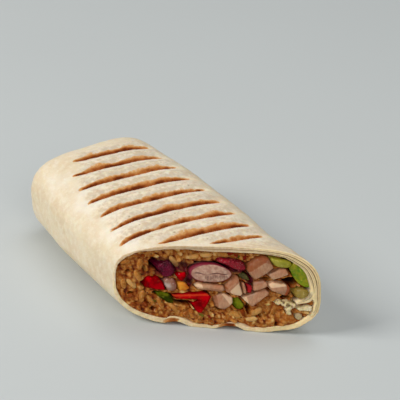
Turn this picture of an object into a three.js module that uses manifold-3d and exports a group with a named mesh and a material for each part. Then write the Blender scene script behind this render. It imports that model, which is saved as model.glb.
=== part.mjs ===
// Half of a grilled burrito: a wheat tortilla rolled round rice, chicken, kidney bean and cut vegetables,
// cut through on the bias. Millimetres, +Z up. While it is built, the roll lies along X with its closed
// end at -X, and the origin is the middle of the cut, on the underside. The last step moves the origin to
// the middle of the whole, on the underside.
//
// Places on the cut are written as [u, z]: u runs along the cut, horizontally, and z is the height.

import * as THREE from 'three';
import { mergeVertices } from 'three/addons/utils/BufferGeometryUtils.js';
import Module from 'manifold-3d';

const wasm = await Module();
wasm.setup();

// ---- Driving dimensions ------------------------------------------------------------------------

const ROLL_WIDTH = 64; // the flattened roll, straight across
const ROLL_HEIGHT = 35.6; // at the axis, over the ribs
const WAIST_HEIGHT = 17; // where the roll is widest
const TOP_TILT = 0.06; // how fast the top climbs towards +Y
const TOP_SQUARENESS = 3.3; // exponents of the superellipse that the section follows
const LOW_SQUARENESS = 2.8;
const CUT_BIAS = THREE.MathUtils.degToRad(38); // from straight across the roll
const CLOSED_END = -114.6; // where the folded end meets the axis
const END_SKEW = 0.08; // the folded end isn't square: its +Y corner reaches further
const END_ROUND = 12; // length over which the section closes down to the folded end
const END_SHARE = { wide: 0.88, top: 0.78, low: 0.5 }; // what is left of the section at the folded end
const END_TUCK = 3; // how deep the folded end is tucked in
const MARK_PITCH = 12.05; // between the bars of the grill
const MARK_HALF = 2.3; // half the width of a pressed groove
const TOP_DEPTH = 1.5; // of the grooves on the top, and of those on the underside
const LOW_DEPTH = 2;
const MARK_SKEW = 0.11; // the grooves don't run quite straight across
const TOP_MARK = -1.9; // the groove nearest the cut, on the top and on the underside
const LOW_MARK = 3;
const SLIT_SIZE = { wide: 0.3, deep: 4 }; // the gap that shows between two layers at the cut
const FIT_GAP = 0.3; // between a filling and what it touches
const RICE_RECESS = 1.8; // how far the body of the rice lies behind the rim, at the height of the waist
const RICE_LEAN = 0.05; // and how much further for each millimetre up
const GRAIN = { long: 3.2, wide: 1.5, thick: 1.3, spacing: 4.1 }; // half sizes of a cooked grain
const AROUND = 36; // faces round the roll

// Thickness of the wrap by direction: degrees from +Y towards the top, then millimetres. It is one layer
// thick on the -Y side, and a stack of overlapping layers round the +Y side.
const WRAP_THICKNESS = [
  [-180, 0.9], [-164, 1.5], [-150, 1.9], [-120, 2.3], [-100, 2.3], [-75, 2], [-50, 1.8],
  [-30, 2.1], [-4, 2.1], [0, 3.3], [15, 3.4], [30, 3.3], [45, 2.9], [58, 2.15], [75, 2],
  [90, 2.1], [98, 1.5], [120, 1.1], [135, 0.8], [165, 0.7], [180, 0.9],
];

// Where the layers have come apart at the cut: how deep in the wrap, as a share of its thickness by
// direction, and between which two directions.
const LAYER_SLITS = [
  { share: [[-180, 0.66], [-4, 0.66], [0, 0.42], [180, 0.42]], from: -16, to: 62 },
  { share: [[-180, 0.76], [180, 0.76]], from: 1, to: 50 },
];

// ---- Numbers -------------------------------------------------------------------------------------

const { smoothstep, lerp, clamp, degToRad, radToDeg } = THREE.MathUtils;
const TAN_BIAS = Math.tan(CUT_BIAS);
const COS_BIAS = Math.cos(CUT_BIAS);
const SIN_BIAS = Math.sin(CUT_BIAS);

/** A repeatable source of random numbers between -1 and 1. */
function randomSource(seed) {
  let state = seed;
  return () => {
    state = (state * 1664525 + 1013904223) % 4294967296;
    return state / 2147483648 - 1;
  };
}

const bell = (distance, width) => Math.exp(-((distance / width) ** 2));

/** Reads a value between the points of a table of [place, value] pairs. */
function between(table, place) {
  const next = Math.max(1, table.findIndex(([at]) => at >= place));
  const [from, low] = table[next - 1];
  const [to, high] = table[next];
  return lerp(low, high, (place - from) / (to - from));
}

// ---- Solids ----------------------------------------------------------------------------------------

/** Turns a closed three.js geometry into a solid that can be joined and cut. */
function solid(geometry) {
  const bare = geometry.clone();
  bare.deleteAttribute('normal');
  bare.deleteAttribute('uv');
  const merged = mergeVertices(bare, 1e-4);
  return new wasm.Manifold(new wasm.Mesh({
    numProp: 3,
    vertProperties: new Float32Array(merged.attributes.position.array),
    triVerts: new Uint32Array(merged.index.array),
  }));
}

/** The largest body of a solid, without the scraps that a cut leaves. */
function largestBody(shape) {
  return shape.decompose().reduce((best, next) => (next.volume() > best.volume() ? next : best));
}

function namedMesh(name, shape, material) {
  const { vertProperties, triVerts } = largestBody(shape).getMesh();
  const geometry = new THREE.BufferGeometry();
  geometry.setAttribute('position', new THREE.BufferAttribute(new Float32Array(vertProperties), 3));
  geometry.setIndex(new THREE.BufferAttribute(new Uint32Array(triVerts), 1));
  geometry.computeVertexNormals();
  const mesh = new THREE.Mesh(geometry, material);
  mesh.name = name;
  return mesh;
}

// ---- The form of the roll ---------------------------------------------------------------------------

/** Half the width of the roll towards a side: it has a slight waist and narrows to its closed end. */
function halfWidth(x, side) {
  const taper = 2.5 * smoothstep(-x, 70, 105);
  const waist = side > 0 ? 1.5 * bell(x + 10, 14) : 0;
  return ROLL_WIDTH / 2 - taper - waist;
}

/** The direction of a point of the section, as a superellipse through (1, 0) and (0, 1). */
function squareDirection(angle) {
  const c = Math.cos(angle);
  const s = Math.sin(angle);
  const power = 2 / (s > 0 ? TOP_SQUARENESS : LOW_SQUARENESS);
  return [Math.sign(c) * Math.abs(c) ** power, Math.sign(s) * Math.abs(s) ** power];
}

/** A point of the smooth roll, moved in by inset. */
function rollPoint(x, angle, inset) {
  const [across, up] = squareDirection(angle);
  const fromEnd = clamp((x - CLOSED_END) / END_ROUND, 0, 1);
  const open = Math.sqrt(1 - (1 - fromEnd) ** 2);
  const y = across * (halfWidth(x, across) - inset) * lerp(END_SHARE.wide, 1, open);
  const reach = up > 0 ? ROLL_HEIGHT + TOP_TILT * y - WAIST_HEIGHT : WAIST_HEIGHT + 0.6;
  const share = lerp(up > 0 ? END_SHARE.top : END_SHARE.low, 1, open);
  const z = WAIST_HEIGHT + up * (reach - inset) * share;
  const skew = lerp(MARK_SKEW, -END_SKEW, smoothstep(-x, 98, 115));
  return new THREE.Vector3(x + skew * y, y, z);
}

/** How far a place lies behind the face of the cut. */
const behindCut = (x, y) => (y * TAN_BIAS - x) * COS_BIAS;

/** How strongly the grill has pressed the top: a mark fades out at its ends and short of the cut. */
function topPress(x, y) {
  const markEnd = lerp(-31, -14, smoothstep(-x, 60, 104));
  return smoothstep(y, markEnd, markEnd + 7) * smoothstep(-y, -25, -17) * smoothstep(behindCut(x, y), 1.5, 7);
}

/** How strongly the grill has pressed the underside, away from its rounded sides. */
const lowPress = (y) => 1 - smoothstep(Math.abs(y), 15, 22);

/** Depth at x of equally spaced grooves, one of which is at first. */
function groove(x, first, depth) {
  const turns = (x - first) / MARK_PITCH;
  const distance = Math.abs(turns - Math.round(turns)) * MARK_PITCH;
  return depth * (1 - smoothstep(distance, 0.6, MARK_HALF));
}

/** The outside of the tortilla, with its pressed grooves and a flat underside between them. */
function outsidePoint(x, angle) {
  const point = rollPoint(x, angle, 0);
  const pressed = smoothstep(x, CLOSED_END + 8, CLOSED_END + 13);
  if (Math.sin(angle) > 0) {
    point.z -= groove(x, TOP_MARK, TOP_DEPTH) * topPress(point.x, point.y) * pressed;
  } else {
    point.z = Math.max(0, point.z) + groove(x, LOW_MARK, LOW_DEPTH) * lowPress(point.y) * pressed;
  }
  return point;
}

/**
 * The inside of the tortilla. Behind the rim it steps back from the top and from the underside, to keep
 * clear of the grooves. At the rim it rises over the grooves of the underside that run out there.
 */
function insidePoint(x, angle, extra) {
  const turn = radToDeg(Math.atan2(Math.sin(angle), Math.cos(angle)));
  const thickness = between(WRAP_THICKNESS, turn) + extra;
  const behind = behindCut(x, rollPoint(x, angle, thickness).y);
  const clearance = 1.4 * smoothstep(behind, 3, 9) * smoothstep(Math.sin(angle), 0, 0.6);
  const point = rollPoint(x, angle, thickness + clearance);
  if (Math.sin(angle) < 0) {
    point.z += lowPress(point.y) * lerp(groove(x, LOW_MARK, LOW_DEPTH), 1.8, smoothstep(behind, 7, 13));
  }
  return point;
}

/** Angles that divide the section into steps of about equal length. */
function evenAngles(count) {
  const samples = 720;
  const lengths = [0];
  let last = rollPoint(0, -Math.PI, 0);
  for (let i = 1; i <= samples; i += 1) {
    const next = rollPoint(0, -Math.PI + (2 * Math.PI * i) / samples, 0);
    lengths.push(lengths[i - 1] + next.distanceTo(last));
    last = next;
  }
  return Array.from({ length: count }, (_, i) => {
    const sample = lengths.findIndex((length) => length >= (lengths[samples] * i) / count);
    return -Math.PI + (2 * Math.PI * sample) / samples;
  });
}

const ANGLES = evenAngles(AROUND);

/** A closed body with a ring of vertices at each station along the roll; tuck dents its closed end. */
function loft(stations, pointAt, tuck = 0) {
  const rows = stations.length - 1;
  const geometry = new THREE.CylinderGeometry(1, 1, rows, AROUND, rows);
  const position = geometry.attributes.position;
  for (let i = 0; i < position.count; i += 1) {
    const row = Math.round(rows / 2 - position.getY(i));
    const turn = Math.atan2(position.getX(i), position.getZ(i)) / (2 * Math.PI);
    const column = Math.round((1 - turn) * AROUND) % AROUND;
    const onAxis = Math.hypot(position.getX(i), position.getZ(i)) < 0.5;
    const point = onAxis ? capCentre(stations[row], pointAt, tuck) : pointAt(stations[row], ANGLES[column]);
    position.setXYZ(i, point.x, point.y, point.z);
  }
  return solid(geometry);
}

/** The middle of a cap, between its highest and its lowest point. */
function capCentre(station, pointAt, tuck) {
  const centre = pointAt(station, Math.PI / 2).lerp(pointAt(station, -Math.PI / 2), 0.5);
  return centre.add(new THREE.Vector3(tuck, 0, 0));
}

/** Everything on the food's side of the cut, from a distance behind its face, which may lean back. */
function behindFace(back, thickness = 300, lean = 0) {
  const block = new THREE.BoxGeometry(thickness, 300, 300);
  block.translate(-thickness / 2 - back, 0, 0);
  block.rotateY(-lean);
  block.translate(0, 0, WAIST_HEIGHT);
  block.rotateZ(-CUT_BIAS);
  return solid(block);
}

/** Turns places on the cut into places across the roll. */
const acrossRoll = (outline) => outline.map(([u, z]) => [u * COS_BIAS, z]);

/** A closed outline across the roll, pushed along it for a length from x = 0. */
function alongRoll(outline, length, bevel = {}) {
  const shape = new THREE.Shape(outline.map(([y, z]) => new THREE.Vector2(y, z)));
  const geometry = new THREE.ExtrudeGeometry(shape, { depth: length, bevelEnabled: false, ...bevel });
  const axes = [new THREE.Vector3(0, 1, 0), new THREE.Vector3(0, 0, 1), new THREE.Vector3(1, 0, 0)];
  return geometry.applyMatrix4(new THREE.Matrix4().makeBasis(...axes));
}

/** The sides of a round piece, with a dent in its underside. */
function oval([u, z], [halfLong, halfHigh], turnDeg, dent = 0) {
  const turn = degToRad(turnDeg);
  return Array.from({ length: 16 }, (_, i) => {
    const angle = (Math.PI * i) / 8;
    const along = halfLong * Math.cos(angle);
    const up = halfHigh * Math.sin(angle) + dent * bell(along, halfLong / 2) * (Math.sin(angle) < 0 ? 1 : 0);
    const [c, s] = [Math.cos(turn), Math.sin(turn)];
    return [u + along * c - up * s, z + along * s + up * c];
  });
}

/** The outline of a thin strip that follows a path, with some steps between each two of its points. */
function strip(path, thickness, steps) {
  const curve = new THREE.SplineCurve(path.map(([u, z]) => new THREE.Vector2(u, z)));
  const points = curve.getPoints(steps * path.length);
  const side = (sign) => points.map((point, i) => {
    const along = points[Math.min(i + 1, points.length - 1)].clone().sub(points[Math.max(i - 1, 0)]);
    const offset = new THREE.Vector2(-along.y, along.x).setLength((sign * thickness) / 2);
    return point.clone().add(offset).toArray();
  });
  return [...side(1), ...side(-1).reverse()];
}

// ---- Tortilla ---------------------------------------------------------------------------------------

/** Rows close together at the folded end and over every groove. */
function outsideStations() {
  const rows = [0, 0.6, 2.2, 5, 9].map((step) => CLOSED_END + step);
  for (let mark = TOP_MARK - 8 * MARK_PITCH; mark < 40; mark += MARK_PITCH) {
    rows.push(...[-2.3, 0, 2.3, 4.9, 7.3].map((step) => mark + step));
  }
  return rows;
}

/** Rows close together at the folded end and over the two grooves of the underside that reach the cut. */
function insideStations(start) {
  const rows = [start, start + 1.5, start + 5];
  for (let x = start + 15; x < -20; x += 16) {
    rows.push(x);
  }
  const grooves = [LOW_MARK - MARK_PITCH, LOW_MARK].flatMap((mark) => [mark - 2.6, mark, mark + 2.6]);
  return [...rows, -20, ...grooves, 14, 44];
}

/** The hollow of the wrap, smaller by extra all round. */
function hollow(extra) {
  return loft(insideStations(CLOSED_END + 8 + extra), (x, angle) => insidePoint(x, angle, extra));
}

/** A thin gap between two layers, from one direction to another. */
function layerSlit({ share, from, to }) {
  const steps = 12;
  const edge = (extra) => Array.from({ length: steps + 1 }, (_, i) => {
    const turn = lerp(from, to, i / steps);
    const inset = between(share, turn) * between(WRAP_THICKNESS, turn) + extra;
    const { y, z } = rollPoint(20, degToRad(turn), inset);
    return [y, z];
  });
  const band = alongRoll([...edge(0), ...edge(SLIT_SIZE.wide).reverse()], 90).translate(-40, 0, 0);
  return solid(band).intersect(behindFace(-5, SLIT_SIZE.deep + 5));
}

/** The end of the innermost layer, which curls off the wall into the filling. */
function innerLip(grow) {
  const upper = [[38.9, 21.6], [37.9, 20], [36.7, 17.8], [34.6, 15.6], [31.2, 14.2]];
  const lower = [[31.1, 13], [35.3, 14.2], [37.7, 16.6], [39.6, 19]];
  const outline = [
    ...upper.map(([u, z]) => [u - grow, z + grow]),
    ...lower.map(([u, z], i) => [u + (i > 0 ? grow / 2 : -grow), z - grow]),
  ];
  return solid(alongRoll(acrossRoll(outline), 110).translate(-60, 0, 0));
}

/** The creases between the tucked layers on the folded end. */
function endCreases() {
  const paths = [
    [[-23, 12], [-12, 16], [0, 15], [12, 18], [22, 15]],
    [[-20, 19], [-8, 23], [6, 22], [17, 25]],
  ];
  const creases = paths.map((path) => solid(
    alongRoll(strip(path, 0.8, 2), 8).translate(CLOSED_END - 4, 0, 0),
  ));
  return wasm.Manifold.union(creases);
}

function makeTortilla() {
  const wrap = loft(outsideStations(), outsidePoint, END_TUCK)
    .intersect(behindFace(0))
    .subtract(hollow(0).subtract(innerLip(0)))
    .subtract(wasm.Manifold.union(LAYER_SLITS.map(layerSlit)))
    .subtract(endCreases());
  return namedMesh('tortilla', wrap, food('#ead9b4', 0.75));
}

// ---- Pieces of the filling ----------------------------------------------------------------------------

const CHICKEN = '#c39a7c';
const RED_PEPPER = '#b0101a';
const GREEN = '#6f8f22';
const PURPLE = '#4e1028';
const PALE = '#c9bd92';

// Each piece: its outline on the cut, how long it is along the roll, and how far its face lies behind
// the rim. lean tips the face: millimetres back per millimetre along u and z. A leaf waves along the roll.
const FILLINGS = [
  {
    name: 'kidney_bean', color: '#b08f82', long: 5, back: 0.9,
    outline: oval([-1.9, 24], [7.8, 4.05], 4, 0.5),
  },
  {
    name: 'chicken_1', color: CHICKEN, long: 12, back: 1.6, lean: [0.05, 0.2],
    outline: [[-7.5, 17.8], [-6.7, 18.7], [3.1, 18.5], [3.5, 16.8], [2.6, 16], [-1.3, 16.4], [-6.5, 16.6]],
  },
  {
    name: 'chicken_2', color: CHICKEN, long: 9, back: 1.2, lean: [-0.1, 0.1],
    outline: [
      [-0.6, 12.9], [0.9, 14.1], [3.5, 15.3], [6.7, 13.8],
      [6.6, 11.7], [3.5, 8.5], [1.7, 8.9], [-0.4, 9.6],
    ],
  },
  {
    name: 'chicken_3', color: CHICKEN, long: 10, back: 1, lean: [0.15, 0.1],
    outline: [[7.9, 23.8], [9.1, 23], [9.4, 20.3], [10.6, 16], [10, 14.9], [8, 15.3], [4.2, 16.5], [4, 18.4]],
  },
  {
    name: 'chicken_4', color: CHICKEN, long: 11, back: 1.4, lean: [0.1, -0.1],
    outline: [
      [12.4, 26.4], [12.8, 28], [16.2, 31.4], [19, 32.4],
      [20.6, 31.9], [22.2, 28.1], [19.9, 25.6], [15.3, 22.6],
    ],
  },
  {
    name: 'chicken_5', color: CHICKEN, long: 13, back: 1.8, lean: [0, 0.25],
    outline: [[20.4, 25], [23.9, 26.8], [27.4, 27.8], [28.2, 26.5], [28.2, 25.4], [22.2, 23.1]],
  },
  {
    name: 'chicken_6', color: CHICKEN, long: 9, back: 1.5, lean: [-0.15, 0.1],
    outline: [[15.2, 20.5], [18.8, 22.3], [19.7, 21.5], [19.8, 20.3], [18.4, 19.2], [14.9, 17.6]],
  },
  {
    name: 'chicken_7', color: CHICKEN, long: 11, back: 0.8, lean: [0.12, 0.15],
    outline: [
      [20.6, 21.1], [22, 21.9], [26.4, 21.5], [28.1, 20.9],
      [29.4, 19.4], [29, 16.9], [28.2, 16], [21.3, 18.7],
    ],
  },
  {
    name: 'chicken_8', color: CHICKEN, long: 10, back: 0.9, lean: [-0.05, 0.2],
    outline: [
      [10.6, 14.1], [15.5, 16.5], [18, 18.2], [19.7, 18.5],
      [21, 17.2], [20.5, 16.2], [14.1, 11], [11.6, 12.8],
    ],
  },
  {
    name: 'chicken_9', color: CHICKEN, long: 7, back: 1.8, bevel: 0.15,
    outline: [[10.7, 20.6], [11.5, 20.2], [12.3, 17.8], [12.1, 16], [11.4, 15.9]],
  },
  {
    name: 'red_pepper_1', color: RED_PEPPER, long: 16, back: 1.4, lean: [0.1, -0.15],
    outline: [
      [-27.4, 15.7], [-26.8, 18.5], [-26, 20.2], [-24.4, 19.6],
      [-22.5, 20.5], [-21.1, 18.8], [-19.3, 14.8],
    ],
  },
  {
    name: 'red_pepper_2', color: RED_PEPPER, long: 12, back: 1.6,
    outline: [[-15, 22], [-12.1, 23.3], [-11.8, 21.7], [-13.2, 19.9]],
  },
  {
    name: 'red_pepper_3', color: RED_PEPPER, long: 18, back: 0.8, lean: [-0.06, 0.12],
    outline: [
      [-16.6, 12.7], [-15.4, 13.4], [-9.2, 14.8], [-5.3, 15.5], [-3.4, 15], [-1.4, 13.5],
      [-2.8, 11.1], [-5.9, 6.5], [-7.1, 6.7], [-9.4, 10], [-5.3, 11.9], [-8.2, 11.9], [-15.2, 11.4],
    ],
  },
  {
    name: 'yellow_pepper', color: '#c47a1c', long: 10, back: 1.6,
    outline: [[-14.4, 18.4], [-11.9, 18.8], [-10.3, 16.6], [-11.6, 15.6], [-13.7, 15.4]],
  },
  {
    name: 'green_pepper_1', color: '#2f5a12', long: 14, back: 1.6, lean: [0, -0.2],
    outline: [
      [-23.2, 13.6], [-20.1, 13.9], [-18.3, 13.3], [-16.2, 10.2],
      [-16.7, 9.4], [-18.3, 9.5], [-21.6, 12],
    ],
  },
  {
    name: 'green_pepper_2', color: GREEN, long: 12, back: 1.6,
    outline: [[7.7, 13.7], [9.3, 13.9], [11.7, 10.8], [11.4, 9.6], [10.1, 8.5], [8, 9.1], [7.4, 10.9]],
  },
  {
    name: 'red_cabbage_1', color: PURPLE, long: 22, back: 1.8, lean: [0.1, 0.1],
    outline: [
      [-23, 24.7], [-21.9, 26.1], [-17.9, 27.4], [-16.6, 26.9], [-15.4, 24.1], [-15.9, 22.6], [-17.2, 21.2],
      [-19.9, 20.9],
    ],
  },
  {
    name: 'red_cabbage_2', color: '#7d1f35', long: 24, back: 1.4, lean: [0, -0.2],
    outline: [
      [0.4, 29.3], [2.6, 30.4], [10.5, 29.4], [11.7, 27.7],
      [11.6, 26.1], [9.4, 25.5], [7.4, 26.6], [4.6, 28.3],
    ],
  },
  {
    name: 'onion_1', color: '#a9957e', long: 12, back: 1.5,
    outline: [
      [-19.9, 18.8], [-18.5, 19.9], [-16.3, 20], [-15.6, 18.5],
      [-15.4, 16.8], [-15.8, 15.3], [-18.4, 15],
    ],
  },
  {
    name: 'onion_2', color: '#a8a05c', long: 20, back: 1.5, lean: [-0.1, 0],
    outline: [
      [30.4, 17.9], [31, 19.4], [32.7, 20.2], [34.7, 20.1],
      [35.5, 19], [35.2, 17.5], [33.4, 16.1], [31.2, 16],
    ],
  },
  {
    name: 'lettuce_1', color: GREEN, long: 45, back: 1.6, lean: [0, -0.3], wave: 0.3,
    outline: [
      [21.2, 32.2], [24, 32.1], [26.8, 31.7], [28.5, 30.8], [28.4, 29.6], [27.5, 28.8], [23.7, 28.9],
    ],
  },
  {
    name: 'lettuce_2', color: GREEN, long: 3, back: 1.3, lean: [0.1, 0.05],
    outline: [
      [28.9, 28.4], [29.1, 29.6], [30.3, 30.6], [32.2, 29.2], [34.4, 27], [35.8, 24.4],
      [36.5, 22.2], [36.5, 21], [34.3, 21.2], [32.4, 22.1], [30.4, 25.1],
    ],
  },
  {
    name: 'white_cabbage_1', color: PALE, long: 15, back: 1.2, bevel: 0.15,
    outline: strip(
      [[23.7, 12.6], [25, 13.7], [26.5, 12.5], [28.1, 13.6], [30, 12.6], [27.9, 10.8], [28.7, 8.5]], 1.2, 2,
    ),
  },
  {
    name: 'white_cabbage_2', color: PALE, long: 16, back: 0.8, lean: [0.05, 0.2], bevel: 0.15,
    outline: [[31.4, 12.1], [33.7, 12], [36.3, 12.9], [37.8, 12.7], [37.5, 10.9], [31.6, 11.1]],
  },
  { name: 'white_cabbage_3', color: PALE, outline: oval([32.3, 7.9], [1.3, 1.35], 0), long: 12, back: 1.4 },
  {
    name: 'herb', color: '#5a4a20', long: 9, back: 1.9, bevel: 0.15,
    outline: [[9.4, 24.2], [11.1, 24.5], [12.6, 23.6], [13.4, 21.9], [12.7, 21.5], [9.8, 23.2]],
  },
  {
    name: 'tomato', color: '#b0303c', long: 10, back: 1.5, bevel: 0.15,
    outline: [[12.4, 20], [13.9, 19.8], [14.2, 18.4], [13.8, 16.7], [12.8, 16.5], [12.8, 18.3]],
  },
];

/** A piece as a bevelled bar along the roll whose front face follows the cut. */
function barSolid({ outline, long, back, lean = [0, 0], bevel = 0.4, wave = 0 }, grow) {
  const bar = alongRoll(acrossRoll(outline), 1, {
    steps: wave > 0 ? 4 : 1,
    bevelEnabled: true,
    bevelThickness: bevel,
    bevelSize: bevel,
    bevelOffset: grow - bevel,
    bevelSegments: 1,
  });
  const [leanU, leanZ] = lean;
  const position = bar.attributes.position;
  const middle = new THREE.Box3().setFromBufferAttribute(position).getCenter(new THREE.Vector3());
  for (let i = 0; i < position.count; i += 1) {
    const along = position.getX(i);
    const share = clamp(along, 0, 1);
    const y = position.getY(i);
    const behind = back - grow + leanU * (y - middle.y) / COS_BIAS + leanZ * (position.getZ(i) - middle.z);
    const front = y * TAN_BIAS - Math.max(0.4, behind) / COS_BIAS;
    const rear = middle.y * TAN_BIAS - back / COS_BIAS - long - grow;
    position.setX(i, lerp(rear, front, share) + along - share);
    position.setZ(i, position.getZ(i) + wave * Math.sin(10 * share));
  }
  return solid(bar);
}

// ---- Rice --------------------------------------------------------------------------------------------

/** Distance from a place on the cut to an outline, negative inside it. */
function outlineDistance(u, z, outline) {
  let nearest = Infinity;
  let inside = false;
  outline.forEach(([u1, z1], i) => {
    const [u2, z2] = outline[(i + 1) % outline.length];
    const t = clamp(((u - u1) * (u2 - u1) + (z - z1) * (z2 - z1)) / ((u2 - u1) ** 2 + (z2 - z1) ** 2), 0, 1);
    nearest = Math.min(nearest, Math.hypot(u - lerp(u1, u2, t), z - lerp(z1, z2, t)));
    if ((z1 > z) !== (z2 > z) && u < lerp(u1, u2, (z - z1) / (z2 - z1))) {
      inside = !inside;
    }
  });
  return inside ? -nearest : nearest;
}

/** The outline of the hollow on the face of the cut. */
function hollowOutline() {
  return ANGLES.map((angle) => {
    const { y, z } = insidePoint(rollPoint(0, angle, 2).y * TAN_BIAS, angle, FIT_GAP);
    return [y / COS_BIAS, z];
  });
}

/** Where grains show: inside the wrap and off the other pieces, on a grid that is shaken a little. */
function grainPlaces(random) {
  const wall = hollowOutline();
  const places = [];
  for (let z = 2.5; z < ROLL_HEIGHT; z += GRAIN.spacing * 0.8) {
    for (let u = -40; u < 40; u += GRAIN.spacing * 1.15) {
      const place = [u + 1.2 * random(), z + 0.9 * random()];
      const clear = Math.min(...FILLINGS.map(({ outline }) => outlineDistance(...place, outline)));
      if (outlineDistance(...place, wall) < -0.9 && clear > 1.2) {
        places.push(place);
      }
    }
  }
  return places;
}

/** How far behind the rim the body of the rice lies at a height. */
const riceBack = (z) => RICE_RECESS + RICE_LEAN * (z - WAIST_HEIGHT);

/** A grain of rice lying on the face of the heap. */
function grainSolid([u, z], random) {
  const shape = new THREE.IcosahedronGeometry(1, 0);
  shape.scale(GRAIN.long * (1 + 0.12 * random()), GRAIN.wide, GRAIN.thick);
  shape.rotateY(0.5 * random());
  shape.rotateZ(Math.PI * random());
  const axes = [
    new THREE.Vector3(SIN_BIAS, COS_BIAS, 0),
    new THREE.Vector3(0, 0, 1),
    new THREE.Vector3(COS_BIAS, -SIN_BIAS, 0),
  ];
  shape.applyMatrix4(new THREE.Matrix4().makeBasis(...axes));
  const back = riceBack(z) - 0.3 + 0.6 * random();
  const y = u * COS_BIAS;
  shape.translate(y * TAN_BIAS - back / COS_BIAS, y, z);
  return solid(shape);
}

/** Dark hollows between the pieces, where the rice lies deeper. */
const PITS = [
  { place: [-24.3, 26], size: [1.5, 2] },
  { place: [28.9, 22.9], size: [1.8, 1.4] },
  { place: [14.2, 21.6], size: [0.8, 1.6] },
  { place: [-12, 10.2], size: [3, 0.9] },
];

function pitSolid({ place: [u, z], size: [halfLong, halfHigh] }) {
  const depth = 5;
  const shape = new THREE.IcosahedronGeometry(1, 1);
  shape.scale(RICE_RECESS + depth, halfLong * COS_BIAS, halfHigh);
  return solid(shape.translate(u * COS_BIAS * TAN_BIAS - RICE_RECESS / COS_BIAS, u * COS_BIAS, z));
}

function makeRice(room) {
  const random = randomSource(7);
  const body = room.intersect(behindFace(RICE_RECESS, 300, RICE_LEAN));
  const grains = grainPlaces(random).map((place) => grainSolid(place, random));
  const heap = wasm.Manifold.union([body, ...grains]).intersect(room);
  const cutters = [...PITS.map(pitSolid), ...FILLINGS.map((filling) => barSolid(filling, FIT_GAP))];
  return namedMesh('rice', heap.subtract(wasm.Manifold.union(cutters)), food('#9a6430', 0.5));
}

// ---- Assembly --------------------------------------------------------------------------------------

function food(color, roughness) {
  return new THREE.MeshStandardMaterial({ color, roughness, metalness: 0 });
}

const room = hollow(FIT_GAP).subtract(innerLip(FIT_GAP));
const burrito = new THREE.Group();
burrito.add(makeTortilla());
burrito.add(makeRice(room));
for (const filling of FILLINGS) {
  burrito.add(namedMesh(filling.name, barSolid(filling, -0.1).intersect(room), food(filling.color, 0.45)));
}

const extent = new THREE.Box3().setFromObject(burrito);
const middle = extent.getCenter(new THREE.Vector3());
burrito.position.set(-middle.x, -middle.y, -extent.min.z);

export default burrito;
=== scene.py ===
"""Half of a grilled burrito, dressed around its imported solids.

The forms are worked out in millimetres, with the roll along X and the middle of the cut at the origin, by
the same named sizes as the solids. Each mesh is moved into the frame, and into metres, as it is made.
"""

import itertools
import math

import bmesh
import bpy
import numpy as np
from mathutils import Euler, Matrix, Vector
from mathutils.bvhtree import BVHTree
from mathutils.kdtree import KDTree


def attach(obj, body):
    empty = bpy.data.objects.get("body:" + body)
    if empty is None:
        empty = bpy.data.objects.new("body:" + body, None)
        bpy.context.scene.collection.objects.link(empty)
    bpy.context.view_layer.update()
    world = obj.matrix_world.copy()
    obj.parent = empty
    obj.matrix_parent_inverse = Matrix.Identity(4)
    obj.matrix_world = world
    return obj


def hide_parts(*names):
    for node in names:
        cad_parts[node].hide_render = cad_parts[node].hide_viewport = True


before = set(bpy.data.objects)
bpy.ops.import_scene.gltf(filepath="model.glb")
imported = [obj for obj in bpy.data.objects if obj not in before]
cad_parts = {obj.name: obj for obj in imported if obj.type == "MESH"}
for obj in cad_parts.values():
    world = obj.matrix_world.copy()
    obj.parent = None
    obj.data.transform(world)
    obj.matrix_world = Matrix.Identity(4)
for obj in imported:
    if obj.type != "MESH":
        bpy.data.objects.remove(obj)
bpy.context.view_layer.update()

# ---- Sizes of the roll, as in the solids ----

ROLL_WIDTH = 64.0
ROLL_HEIGHT = 35.6
WAIST_HEIGHT = 17.0
TOP_TILT = 0.06
TOP_SQUARENESS = 3.3
LOW_SQUARENESS = 2.8
CUT_BIAS = math.radians(38)
CLOSED_END = -114.6
END_SKEW = 0.08
END_ROUND = 12.0
END_WIDE, END_TOP, END_LOW = 0.88, 0.78, 0.5
END_TUCK = 3.0
END_WALL = 8.0
MARK_PITCH = 12.05
TOP_DEPTH, LOW_DEPTH = 1.5, 1.7
MARK_SKEW = 0.11
TOP_MARK = -1.9
LOW_MARK = 3.0
LOW_RISE = 1.8
RICE_RECESS = 1.8
RICE_LEAN = 0.05
# The thickness of the wrap at turns round the section, in degrees, from its -Y side through its underside.
WRAP_TURNS = [
    -180, -164, -150, -120, -100, -75, -50, -30, -4, 0, 15, 30, 45, 58, 75, 90, 98, 120, 135, 165, 180,
]
WRAP_THICKNESS = [
    0.9, 1.5, 1.9, 2.3, 2.3, 2.0, 1.8, 2.1, 2.1, 3.3, 3.4, 3.3, 2.9, 2.15, 2.0, 2.1, 1.5, 1.1, 0.8, 0.7, 0.9,
]

SHIFT = np.array([45.8386, 0.0015, 0.0])  # from the middle of the cut to the frame's origin

TAN_BIAS = math.tan(CUT_BIAS)
COS_BIAS = math.cos(CUT_BIAS)
SIN_BIAS = math.sin(CUT_BIAS)
CUT_NORMAL = np.array([COS_BIAS, -SIN_BIAS, 0.0])
CUT_ALONG = np.array([SIN_BIAS, COS_BIAS, 0.0])
UPWARD = np.array([0.0, 0.0, 1.0])


# ---- Numbers ----


def smoothstep(value, low, high):
    share = np.clip((value - low) / (high - low), 0, 1)
    return share * share * (3 - 2 * share)


def fade(value, low, high):
    return 1 - smoothstep(value, low, high)


def between(value, low, full, falling, high):
    """1 from full to falling, and 0 below low and above high."""
    return smoothstep(value, low, full) * fade(value, falling, high)


def lerp(low, high, share):
    return low + (high - low) * share


def bell(distance, width):
    return np.exp(-((distance / width) ** 2))


def point(x, y, z):
    """Points from their coordinates, each a number or an array."""
    return np.stack(np.broadcast_arrays(x, y, z), axis=-1)


def coordinates(points):
    return np.moveaxis(points, -1, 0)


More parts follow.
